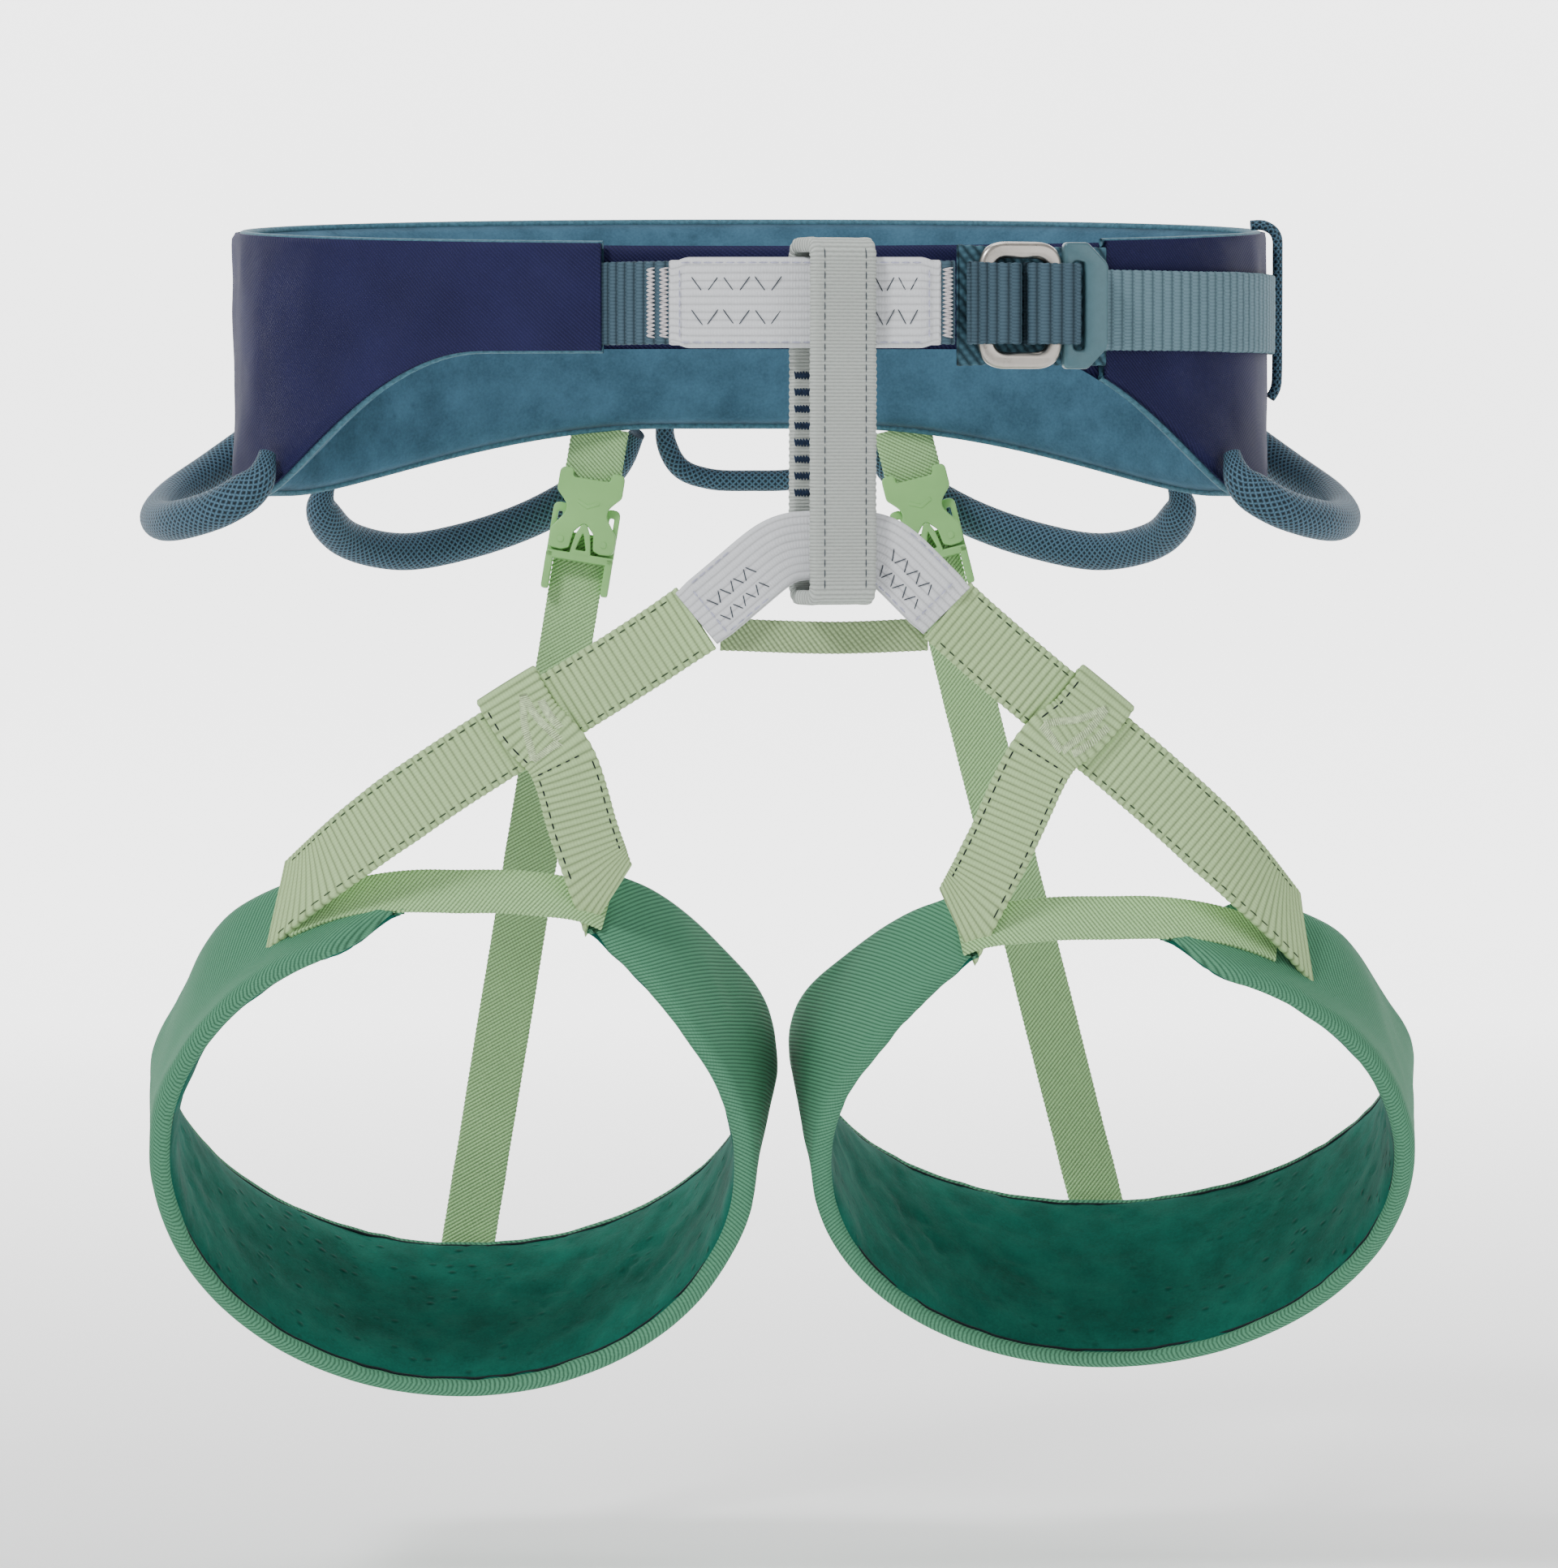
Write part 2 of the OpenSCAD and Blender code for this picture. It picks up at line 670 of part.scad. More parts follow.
module leg_elastic_left() { leg_elastic(-1); }
module leg_elastic_right() { leg_elastic(1); }

// ---------- rear risers ----------

riser_drop = 3.1;          // from the belt's edge to the riser's middle line, as the edge slopes
riser_bar_z = 22.8;
riser_turn = 163.6;
foot_around = [179, 179];
function riser_top_at(side) =
    belt_at(side * riser_turn, -cover_t - 1.4, belt_low(riser_turn) - riser_drop);
function riser_foot_at(side) =
    leg_at(side, foot_around[leg_index(side)], pad_back_w + 1, elastic_t / 2 + gap);
function riser_up(side) = unit(riser_top_at(side) - riser_foot_at(side));
clip_zero = riser_bar_z + riser_top_len;

// Places children with Z up along the riser and its zero where the clip's halves meet
module at_clip(side) {
    up = riser_up(side);
    translate(riser_top_at(side) - clip_zero * up)
        rotate([-asin(up[1]), atan2(up[0], up[2]), 0])
        children();
}

module riser_top(side) {
    top_t = 2.6;
    color("#a9cf95")
        at_clip(side)
        translate([-riser_w / 2 - 0.7, 0.15, riser_bar_z - 3])
        cube([riser_w + 1.4, top_t, riser_top_len + 3]);
}

module riser_top_left() { riser_top(-1); }
module riser_top_right() { riser_top(1); }

module dot(x, z, r) {
    translate([x, z])
        circle(r, $fn = 32);
}

// Upper half of the clip: a horned bar, a waist and two legs with round feet
module clip_upper(side) {
    foot_x = clip_w / 2 - 3.5;
    horn_x = clip_w / 2 - 2.4;
    color("#a9cf95")
        at_clip(side)
        plate(-clip_t - 0.15, clip_t) {
            for (s = [-1, 1]) {
                hull() {
                    dot(s * foot_x, 3.7, 3.4);
                    dot(s * 2.6, 13.5, 2.4);
                }
                hull() {
                    dot(s * 2.6, 13.5, 2.4);
                    dot(s * horn_x, 19, 2.3);
                }
                hull() {
                    dot(s * horn_x, 19, 2.3);
                    dot(s * horn_x, 23.2, 2.1);
                }
            }
            translate([-5, 12.5])
                square([10, 4.6]);
            translate([-horn_x, 20.2])
                square([2 * horn_x, 2.4]);
        }
}

module clip_upper_left() { clip_upper(-1); }
module clip_upper_right() { clip_upper(1); }

// Lower half of the clip: a tongue between the upper half's legs, two slotted ears behind
// them, a crossbar and two rails beside the strap
module clip_lower(side) {
    rail_w = 2.3;
    rail_len = 12;
    half_w = clip_w / 2;
    color("#a3ca90")
        at_clip(side) {
            plate(-clip_t - 0.15, clip_t)
                difference() {
                    polygon([[-3.1, -1], [3.1, -1], [0.7, 9.6], [-0.7, 9.6]]);
                    polygon([[-1.7, 0.8], [1.7, 0.8], [0, 7]]);
                }
            plate(0.15, clip_t - 0.4)
                for (s = [-1, 1])
                    difference() {
                        hull() {
                            dot(s * (half_w - 2), 1, 2);
                            dot(s * (half_w - 2.4), 12.6, 2.2);
                        }
                        translate([s * (half_w - 2.4) - 0.7, 7])
                            square([1.4, 5]);
                    }
            plate(-clip_t - 0.15, 2 * clip_t - 0.1) {
                translate([-half_w, -2.6])
                    square([2 * half_w, 2.4]);
                for (s = [-1, 1])
                    translate([s * (half_w - rail_w / 2) - rail_w / 2, -rail_len])
                        square([rail_w, rail_len - 0.2]);
            }
        }
}

module clip_lower_left() { clip_lower(-1); }
module clip_lower_right() { clip_lower(1); }

// Elastic riser from behind the clip's crossbar to the upper edge of the leg pad
module riser_strap(side) {
    up = riser_up(side);
    behind = [0, clip_t + elastic_t / 2 + 0.1, 0];
    start = riser_top_at(side) - (clip_zero - 6) * up + behind;
    straight_end = start - 36 * up;
    foot = riser_foot_at(side) + [0, 1.6, 0];
    around = foot_around[leg_index(side)];
    lap = leg_at(side, around, pad_back_w - 12, elastic_t / 2 + gap);
    path = curve([start, straight_end, mix(straight_end, foot, 0.4), mix(straight_end, foot, 0.8),
        foot, lap], 4);
    color("#a9cf95") strap(path, [for (p = path) [1, 0, 0]], riser_w, elastic_t);
}

module riser_strap_left() { riser_strap(-1); }
module riser_strap_right() { riser_strap(1); }

// ---------- the parts ----------

belt_cover_left();
belt_cover_right();
belt_cover_back();
belt_foam();
belt_lining();
front_tongue();
load_webbing();
tie_in_webbing();
upper_tie_in_sleeve();
buckle_anchor_strap();
buckle_steel_frame();
buckle_coated_frame();
buckle_webbing();
waist_webbing_tail();
tail_keeper_cord();
lower_tie_in_webbing();
lower_tie_in_sleeve();
belay_loop();
bridge_strap();
gear_loop_front_left();
gear_loop_front_right();
gear_loop_rear_left();
gear_loop_rear_right();
gear_loop_centre();
gear_core_front_left();
gear_core_front_right();
gear_core_rear_left();
gear_core_rear_right();
gear_core_centre();
riser_top_left();
riser_top_right();
clip_upper_left();
clip_upper_right();
clip_lower_left();
clip_lower_right();
riser_strap_left();
riser_strap_right();
leg_shell_left();
leg_shell_right();
leg_foam_left();
leg_foam_right();
leg_lining_left();
leg_lining_right();
leg_arm_left();
leg_arm_right();
leg_branch_left();
leg_branch_right();
leg_elastic_left();
leg_elastic_right();
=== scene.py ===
"""Climbing harness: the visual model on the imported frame. Lengths in the helpers are millimetres."""
import math
import bpy
import numpy as np
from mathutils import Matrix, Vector


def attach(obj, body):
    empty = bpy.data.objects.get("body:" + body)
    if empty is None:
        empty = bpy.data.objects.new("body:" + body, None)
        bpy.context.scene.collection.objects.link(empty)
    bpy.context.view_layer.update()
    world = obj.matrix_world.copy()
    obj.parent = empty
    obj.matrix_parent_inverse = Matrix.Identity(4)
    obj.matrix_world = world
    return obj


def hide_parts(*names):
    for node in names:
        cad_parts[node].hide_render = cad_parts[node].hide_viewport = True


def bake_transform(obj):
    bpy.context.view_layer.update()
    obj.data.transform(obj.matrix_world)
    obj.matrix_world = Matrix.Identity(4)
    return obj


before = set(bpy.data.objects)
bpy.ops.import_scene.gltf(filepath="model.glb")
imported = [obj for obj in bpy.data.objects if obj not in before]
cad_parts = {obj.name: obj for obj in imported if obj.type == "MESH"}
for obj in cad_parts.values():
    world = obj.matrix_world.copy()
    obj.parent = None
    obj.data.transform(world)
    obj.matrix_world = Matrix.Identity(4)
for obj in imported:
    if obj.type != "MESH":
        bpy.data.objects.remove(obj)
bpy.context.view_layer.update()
MM = 0.001


def new_object(name, data):
    obj = bpy.data.objects.new(name, data)
    bpy.context.scene.collection.objects.link(obj)
    return obj


def aim(obj, at, target):
    """Places a camera or a light and points it at the target, both in metres."""
    obj.location = at
    obj.rotation_euler = (Vector(target) - Vector(at)).to_track_quat("-Z", "Y").to_euler()


# ---- camera
camera = new_object("camera", bpy.data.cameras.new("camera"))
aim(camera, Vector((8.3, -1897.4, -24.6)) * MM, Vector((8.3, 0, -124)) * MM)
camera.data.lens = 150
camera.data.sensor_width = 36
camera.data.clip_end = 20
bpy.context.scene.camera = camera

# ---- sizes shared with the CAD source
HALF_W, HALF_D, SQUARE = 149.5, 92.0, 2.2
TOP_FRONT, TOP_BACK = 30.0, 42.0
LOW_FRONT, LOW_SIDE, LOW_BACK = 0.5, -40.0, -20.0
LEFT_TURN, RIGHT_TURN, SIDE_TURN = -14.0, 40.0, 95.0
FRONT_Y = -102.5
UPPER_Z, LOWER_Z = 13.5, -53.0
SLEEVE_L, SLEEVE_R, BELAY_X = -21.0, 52.0, 23.0
LOWER_L, LOWER_R = -14.2, 54.2
TILT, HEIGHT, DROP, BACK, PINCH = (32, 36), (1, 0.93), (-230.5, -231), (51, 55), (6, 8)
LEG_R, FLARE, PAD_BACK, PAD_END, MID_X, LEG_GAP = 86.0, 9.0, 78.0, 34.0, 9.3, 1.4
GEAR_D, REAR_GEAR_D = 11.6, 6.6
BUCKLE_X, BUCKLE_TURN, FRAME_H = 79.0, 17.0, 35.0
X, Y, Z = np.eye(3)


def smooth(a, b, v):
    t = np.clip((np.asarray(v, float) - a) / (b - a), 0, 1)
    return t * t * (3 - 2 * t)


def mix(a, b, t):
    return a + (b - a) * t


def sin(a):
    return np.sin(np.radians(a))


def cos(a):
    return np.cos(np.radians(a))


def unit(v):
    v = np.asarray(v, float)
    return v / np.maximum(np.linalg.norm(v, axis=-1, keepdims=True), 1e-12)


def power(v, p):
    return np.sign(v) * np.abs(v) ** p


def stack(*parts):
    """Arrays that may differ in shape, side by side along a new last axis."""
    return np.stack(np.broadcast_arrays(*parts), -1)


def along_path(path):
    """How far along the path each of its points is."""
    return np.cumsum(np.r_[0, np.linalg.norm(np.diff(path, axis=0), axis=1)])


def belt_at(turn, out, z):
    turn, out, z = np.broadcast_arrays(np.asarray(turn, float), out, z)
    return np.stack([(HALF_W + out) * power(sin(turn), 2 / SQUARE),
                     -(HALF_D + out) * power(cos(turn), 2 / SQUARE), z], -1)


def belt_top(turn):
    return mix(TOP_FRONT, TOP_BACK, (1 - cos(turn)) / 2)


def belt_low(turn):
    side = np.abs((np.asarray(turn, float) + 180) % 360 - 180)
    return mix(mix(LOW_FRONT, LOW_SIDE, smooth(28, 72, side)), LOW_BACK, smooth(112, 172, side))


def leg_index(side):
    return 0 if side < 0 else 1


def leg_axis(side):
    return np.array([0, -cos(TILT[leg_index(side)]), -sin(TILT[leg_index(side)])])


def leg_up(side):
    return np.array([0, -sin(TILT[leg_index(side)]), cos(TILT[leg_index(side)])])


def leg_centre(side):
    i = leg_index(side)
    return np.array([MID_X + side * (LEG_R + FLARE * 0.8 + LEG_GAP / 2), FRONT_Y + BACK[i], DROP[i]])


def leg_at(side, around, back, out):
    around, back, out = np.broadcast_arrays(np.asarray(around, float), back, out)
    i, turn = leg_index(side), around % 360
    seam = smooth(336, 360, turn)
    pinch = 22 * (1 - smooth(50, 105, turn) + seam) + PINCH[i] * (smooth(280, 320, turn) - seam)
    r = (LEG_R + (FLARE - pinch) * back / PAD_BACK + out)[..., None]
    return (leg_centre(side) - back[..., None] * leg_axis(side)
            + r * (side * sin(around)[..., None] * X + HEIGHT[i] * cos(around)[..., None] * leg_up(side)))


def pad_low(around):
    return 12 * (1 - smooth(8, 24, around)) + 12 * smooth(300, 332, around)


def pad_high(around):
    a = np.asarray(around, float)
    belly = np.clip(sin(180 * (a - 30) / 302), 0, 1) ** 1.2
    return np.where(a < 30, mix(16, PAD_END, smooth(8, 30, a)), PAD_END + (PAD_BACK - PAD_END) * belly)


def pad_at(side, around, back, out):
    """A point on a pad. Its upper edge leans outwards at both ends."""
    around, back, out = np.broadcast_arrays(np.asarray(around, float), back, out)
    lean = 9 * (1 - smooth(42, 80, around)) + 5 * smooth(295, 325, around)
    return leg_at(side, around, back, out + lean * smooth(10, 36, back))


# ---- meshes
def noise(p, size, seed=0):
    """Smooth value noise from -1 to 1 at points p, with cells of that size."""
    q = np.asarray(p, float) / size
    i = np.floor(q).astype(np.int64)
    f = q - i
    f = f * f * (3 - 2 * f)
    total = 0
    for dx in (0, 1):
        for dy in (0, 1):
            for dz in (0, 1):
                n = ((i[..., 0] + dx) * 73856093 ^ (i[..., 1] + dy) * 19349663
                     ^ (i[..., 2] + dz) * 83492791)
                n = (n ^ seed * 2654435761) & 0xFFFFFFFF
                n = (n ^ (n >> 13)) * 1274126177 & 0xFFFFFFFF
                v = ((n ^ (n >> 16)) & 0xFFFF) / 32767.5 - 1
                w = (np.where(dx, f[..., 0], 1 - f[..., 0]) * np.where(dy, f[..., 1], 1 - f[..., 1])
                     * np.where(dz, f[..., 2], 1 - f[..., 2]))
                total = total + v * w
    return total


def mesh_object(name, verts, faces, uv=None, around=0.0):
    """A mesh from points in millimetres. uv is one (u, v) pair per vertex, also in millimetres.
    around is the length after which v comes back to its start, where it does."""
    mesh = bpy.data.meshes.new(name)
    faces = faces if isinstance(faces, list) else faces.tolist()
    mesh.from_pydata((np.asarray(verts) * MM).tolist(), [], faces)
    if uv is not None:
        layer = mesh.uv_layers.new(name="UVMap")
        index = np.empty(len(mesh.loops), np.int64)
        mesh.loops.foreach_get("vertex_index", index)
        place = np.asarray(uv, np.float32)[index]
        if around:
            starts, totals = np.empty((2, len(mesh.polygons)), np.int64)
            mesh.polygons.foreach_get("loop_start", starts)
            mesh.polygons.foreach_get("loop_total", totals)
            highest = np.repeat(np.maximum.reduceat(place[:, 1], starts), totals)
            place[:, 1] += around * ((place[:, 1] < highest - around / 2) & (np.repeat(totals, totals) == 4))
        layer.data.foreach_set("uv", place.ravel())
    mesh.polygons.foreach_set("use_smooth", np.ones(len(mesh.polygons), bool))
    mesh.validate()
    return new_object(name, mesh)


def points_of(obj):
    return np.array([v.co[:] for v in obj.data.vertices])


def set_points(obj, co):
    obj.data.vertices.foreach_set("co", co.ravel())
    obj.data.update()


def grid_faces(rows, cols, wrap_rows=False, wrap_cols=False):
    r = np.arange(rows if wrap_rows else rows - 1)[:, None]
    c = np.arange(cols if wrap_cols else cols - 1)[None, :]
    r2, c2 = (r + 1) % rows, (c + 1) % cols
    return np.stack([r * cols + c, r2 * cols + c, r2 * cols + c2, r * cols + c2], -1).reshape(-1, 4)


def tube_faces(rows, cols, base=0):
    """The faces of a tube with closed ends, whose points start at base."""
    ends = [[base + c for c in range(cols)][::-1], [base + (rows - 1) * cols + c for c in range(cols)]]
    return (grid_faces(rows, cols, wrap_cols=True) + base).tolist() + ends


def tube(name, rings, uv, around=0.0, flip=False):
    """A closed skin over rings (rows, cols, 3) that close on themselves."""
    faces = tube_faces(*rings.shape[:2])
    if flip:
        faces = [face[::-1] for face in faces]
    return mesh_object(name, rings.reshape(-1, 3), faces, uv.reshape(-1, 2), around)


def resample(path, extra, step):
    """The path and what goes with it, at even spacing along its length."""
    path, extra = np.asarray(path, float), np.asarray(extra, float)
    at = along_path(path)
    count = max(3, int(round(at[-1] / step)) + 1)
    s = np.linspace(0, at[-1], count)
    pick = lambda a: np.stack([np.interp(s, at, a[:, k]) for k in range(a.shape[1])], 1)
    return pick(path), pick(extra), s


def curve(points, steps):
    """A smooth curve through the points."""
    p = np.asarray(points, float)
    n, out = len(p), []
    for k in range((n - 1) * steps + 1):
        t = k / steps
        i = min(n - 2, int(t))
        f = t - i
        a, b, c, d = p[max(0, i - 1)], p[i], p[i + 1], p[min(n - 1, i + 2)]
        out.append(0.5 * (2 * b + (c - a) * f + (2 * a - 5 * b + 4 * c - d) * f * f
                          + (3 * b - a - 3 * c + d) * f ** 3))
    return np.array(out)


def soften(a, passes):
    a = a.copy()
    for _ in range(passes):
        a[1:-1] = (a[:-2] + 2 * a[1:-1] + a[2:]) / 4
    return a


class Strap:
    """Flat webbing along a path, with its width along wide. Its front is side +1."""

    def __init__(self, path, wide, w, t, step=0.55, cut=(0, 0), cut_length=28):
        path = np.asarray(path, float)
        wide = np.broadcast_to(np.asarray(wide, float), path.shape)
        self.path, wide, self.s = resample(path, wide, step)
        self.path = soften(self.path, 6)
        self.along = unit(np.gradient(self.path, axis=0))
        self.across = unit(wide - (wide * self.along).sum(1)[:, None] * self.along)
        self.face = np.cross(self.along, self.across)
        self.w, self.t = w, t
        self.length = self.s[-1]
        self.cut, self.cut_length = cut, cut_length

    def spot(self, s, v, off):
        """The point at s along, v across and off outwards. A slanted cut moves s with v near an end."""
        s, v, off = np.broadcast_arrays(np.asarray(s, float), v, off)
        s = (s + self.cut[0] * v * (1 - smooth(0, self.cut_length, s))
             + self.cut[1] * v * smooth(self.length - self.cut_length, self.length, s))
        over = s - np.clip(s, 0, self.length)
        pick = lambda a: np.stack([np.interp(s, self.s, a[:, k]) for k in range(3)], -1)
        return (pick(self.path) + over[..., None] * pick(self.along) + v[..., None] * pick(self.across)
                + off[..., None] * pick(self.face))

    def at(self, s, v, side=1, lift=0.0):
        """Points on the strap's side, lifted off it."""
        return self.spot(s, v, side * (self.t / 2 + np.asarray(lift, float)))

    def mesh(self, name, rib=0.0, pitch=2.1, wave=None, edge_wave=0.12):
        """The webbing itself. rib is the height of its cross ribs; wave(s, v) adds relief to both faces."""
        half, thick = self.w / 2, self.t / 2
        v = np.linspace(-1, 1, max(9, int(self.w / 1.1)))
        top = np.stack([v * (half - thick * 0.5), np.full_like(v, thick)], 1)
        arc = np.radians([60, 20, -20, -60])
        right = np.stack([half - thick * 0.5 + np.cos(arc) * thick * 0.5, np.sin(arc) * thick], 1)
        ring = np.concatenate([top, right, top[::-1] * [1, -1], right[::-1] * [-1, 1]])
        s = self.s[:, None]
        width = 1 + edge_wave / half * np.sin(2 * np.pi * s / pitch) + 0.012 * noise(stack(s, 0, 0), 9, 3)
        rv, rh = ring[:, 0] * width, ring[:, 1]
        relief = rib * np.abs(np.sin(np.pi * s / pitch)) ** 0.7
        if wave is not None:
            relief = relief + wave(s, rv)
        flat = np.clip(1 - np.abs(rv) / half, 0, 1) ** 0.25
        return tube(name, self.spot(s, rv, rh + np.sign(rh) * relief * flat), stack(s, rv))


def stitch(surface, s, v, lift):
    """One thread's points on a surface(s, v, lift), and the directions away from it."""
    return surface(s, v, lift), surface(s, v, 1.0) - surface(s, v, 0.0)


def threads(name, stitches, material, body, r):
    """One piece of short threads, each with its points and its outward directions."""
    verts, faces, base = [], [], 0
    sides, ring = 6, np.radians(np.arange(0, 360, 60))
    for p, normal in stitches:
        along = unit(np.gradient(p, axis=0))
        a = unit(np.cross(along, unit(normal)))
        b = np.cross(a, along)
        thick = np.full(len(p), r)
        thick[[0, -1]] = r * 0.35
        circle = p[:, None] + thick[:, None, None] * (np.cos(ring)[None, :, None] * a[:, None]
                                                      + 0.7 * np.sin(ring)[None, :, None] * b[:, None])
        verts.append(circle.reshape(-1, 3))
        faces += tube_faces(len(p), sides, base)
        base += len(p) * sides
    verts = np.concatenate(verts)
    return finish_piece(mesh_object(name, verts, faces, np.zeros((len(verts), 2))), material, body)


def stitch_line(surface, s0, s1, v0, v1, long=2.6, gap=0.9, dip=0.12):
    """Dashes between two places on a surface."""
    length = math.hypot(s1 - s0, v1 - v0)
    lift = 0.2 - dip * np.array([1.8, 0.3, 0, 0.3, 1.8])
    line = []
    for k in range(max(1, int(length / (long + gap)))):
        t0 = (k * (long + gap)) / length
        t = np.linspace(t0, min(t0 + long / length, 1), 5)
        line.append(stitch(surface, mix(s0, s1, t), mix(v0, v1, t), lift))
    return line


def both_edges(surface, s0, s1, v, *dashes):
    """Stitch lines along both edges of a strap, v from its middle."""
    return stitch_line(surface, s0, s1, -v, -v, *dashes) + stitch_line(surface, s0, s1, v, v, *dashes)


def bartack(surface, s0, s1, v, teeth, lift):
    """A dense zigzag across a strap, from -v to v."""
    t, n = np.linspace(0, 1, 5), teeth * 2
    rise = np.array([lift - 0.25, lift, lift + 0.05, lift, lift - 0.25])
    return [stitch(surface, mix(*((s0, s1) if k % 2 else (s1, s0)), t),
                   mix(mix(-v, v, k / n), mix(-v, v, (k + 1) / n), t), rise) for k in range(n)]


PUFF_FRAMES, PUFF_PRESSURE, PUFF_CAP = 14, 2.5, 1.2


def puff(obj, free):
    """Cloth simulation of a closed pad: the free points swell, by at most PUFF_CAP millimetres."""
    rest = points_of(obj)
    group = obj.vertex_groups.new(name="pin")
    for k, f in enumerate(free):
        group.add([k], float(1 - f), "REPLACE")
    cloth = obj.modifiers.new("cloth", "CLOTH")
    settings = cloth.settings
    settings.quality = 4
    settings.mass = 0.3
    settings.tension_stiffness = settings.compression_stiffness = 18
    settings.bending_stiffness = 0.6
    settings.use_pressure = True
    settings.uniform_pressure_force = PUFF_PRESSURE
    settings.vertex_group_mass = "pin"
    settings.effector_weights.gravity = 0
    cloth.collision_settings.use_collision = False
    cloth.point_cache.frame_start, cloth.point_cache.frame_end = 1, PUFF_FRAMES
    scene = bpy.context.scene
    for f in range(1, PUFF_FRAMES + 1):
        scene.frame_set(f)
    done = obj.evaluated_get(bpy.context.evaluated_depsgraph_get()).to_mesh()
    moved = np.array([v.co[:] for v in done.vertices])
    obj.modifiers.remove(cloth)
    obj.vertex_groups.remove(group)
    scene.frame_set(1)
    d = moved - rest
    size = np.linalg.norm(d, axis=1, keepdims=True)
    set_points(obj, rest + d * np.minimum(1, PUFF_CAP * MM / np.maximum(size, 1e-9)))


def join(name, objs):
    """Several meshes as one."""
    bpy.ops.object.select_all(action="DESELECT")
    for o in objs:
        o.select_set(True)
    bpy.context.view_layer.objects.active = objs[0]
    bpy.ops.object.join()
    objs[0].name = name
    return objs[0]


def finish_piece(obj, material, body, nodes=(), blend=None):
    """Gives a piece its material, the nodes it replaces and what it moves with."""
    obj.data.materials.clear()
    obj.data.materials.append(material)
    if nodes:
        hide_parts(*nodes)
    if blend:
        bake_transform(obj)
    else:
        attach(obj, body)
    return obj


def strap_piece(name, strap, material, body, slot, nodes, **weave):
    """A strap's webbing as a finished piece."""
    finish_piece(strap.mesh(name, **weave), material, body, nodes)


# ---- materials
class Shader:
    """Short names for building a node material."""

    def __init__(self, name, color, rough=0.6, **sockets):
        self.color = srgb(color)
        self.material = bpy.data.materials.new(name)
        self.material.use_nodes = True
        self.tree = self.material.node_tree
        self.bsdf = self.tree.nodes["Principled BSDF"]
        self.bsdf.inputs["Roughness"].default_value = rough
        for key, value in sockets.items():
            self.bsdf.inputs[key.replace("_", " ")].default_value = value

    def link(self, value, socket):
        if isinstance(value, bpy.types.NodeSocket):
            self.tree.links.new(value, socket)
        else:
            socket.default_value = value

    def node(self, kind, **props):
        node = self.tree.nodes.new("ShaderNode" + kind)
        for key, value in props.items():
            setattr(node, key, value)
        return node

    def math(self, op, *values):
        node = self.node("Math", operation=op)
        for socket, value in zip(node.inputs, values):
            self.link(value, socket)
        return node.outputs[0]

    def uv(self):
        parts = self.node("SeparateXYZ")
        self.tree.links.new(self.node("UVMap").outputs[0], parts.inputs[0])
        return parts.outputs[0], parts.outputs[1]

    def place(self):
        return self.node("TexCoord").outputs["Object"]

    def noise(self, scale, detail=2.0, rough=0.5):
        node = self.node("TexNoise")
        self.tree.links.new(self.place(), node.inputs["Vector"])
        node.inputs["Scale"].default_value = scale
        node.inputs["Detail"].default_value = detail
        node.inputs["Roughness"].default_value = rough
        return node.outputs[0]

    def sine(self, value, pitch):
        """Runs from 0 to 1 and back over each pitch."""
        wave = self.math("SINE", self.mul(value, 2 * math.pi / pitch))
        return self.madd(wave, 0.5, 0.5)

    def ramp(self, value, *stops):
        node = self.node("ValToRGB")
        self.tree.links.new(value, node.inputs[0])
        while len(node.color_ramp.elements) < len(stops):
            node.color_ramp.elements.new(0.5)
        for element, (position, color) in zip(node.color_ramp.elements, stops):
            element.position = position
            element.color = (*color, 1)
        return node.outputs[0]

    def tones(self, value, *stops):
        """A ramp over the material's own colour, each stop with its brightness."""
        return self.ramp(value, *((position, shade(self.color, k)) for position, k in stops))

    def blend(self, factor, socket, k):
        """The colour at socket, with the material's own at brightness k over it by factor."""
        node = self.node("Mix", data_type="RGBA", blend_type="MIX")
        for value, slot in ((factor, 0), (socket, 6), ((*shade(self.color, k), 1), 7)):
            self.link(value, node.inputs[slot])
        return node.outputs[2]

    def bump(self, height, distance, strength=1.0):
        """A normal from a height; the distance is in millimetres."""
        node = self.node("Bump")
        node.inputs["Strength"].default_value = strength
        node.inputs["Distance"].default_value = distance * MM
        self.tree.links.new(height, node.inputs["Height"])
        return node.outputs[0]

    def finish(self, color, normal=None, rough=None):
        for value, key in ((color, "Base Color"), (normal, "Normal"), (rough, "Roughness")):
            if value is not None:
                self.link(value, self.bsdf.inputs[key])
        return self.material


for short, operation in (("mul", "MULTIPLY"), ("madd", "MULTIPLY_ADD"), ("add", "ADD"), ("less", "SUBTRACT"),
                         ("over", "DIVIDE"), ("power", "POWER")):
    setattr(Shader, short, lambda self, *values, operation=operation: self.math(operation, *values))


def srgb(text):
    """A colour written as #rrggbb, as linear values."""
    c = [int(text[i:i + 2], 16) / 255 for i in (1, 3, 5)]
    return tuple(v / 12.92 if v <= 0.04045 else ((v + 0.055) / 1.055) ** 2.4 for v in c)


def shade(color, k):
    return tuple(min(1, c * k) for c in color)


def grey(k):
    return (k, k, k)


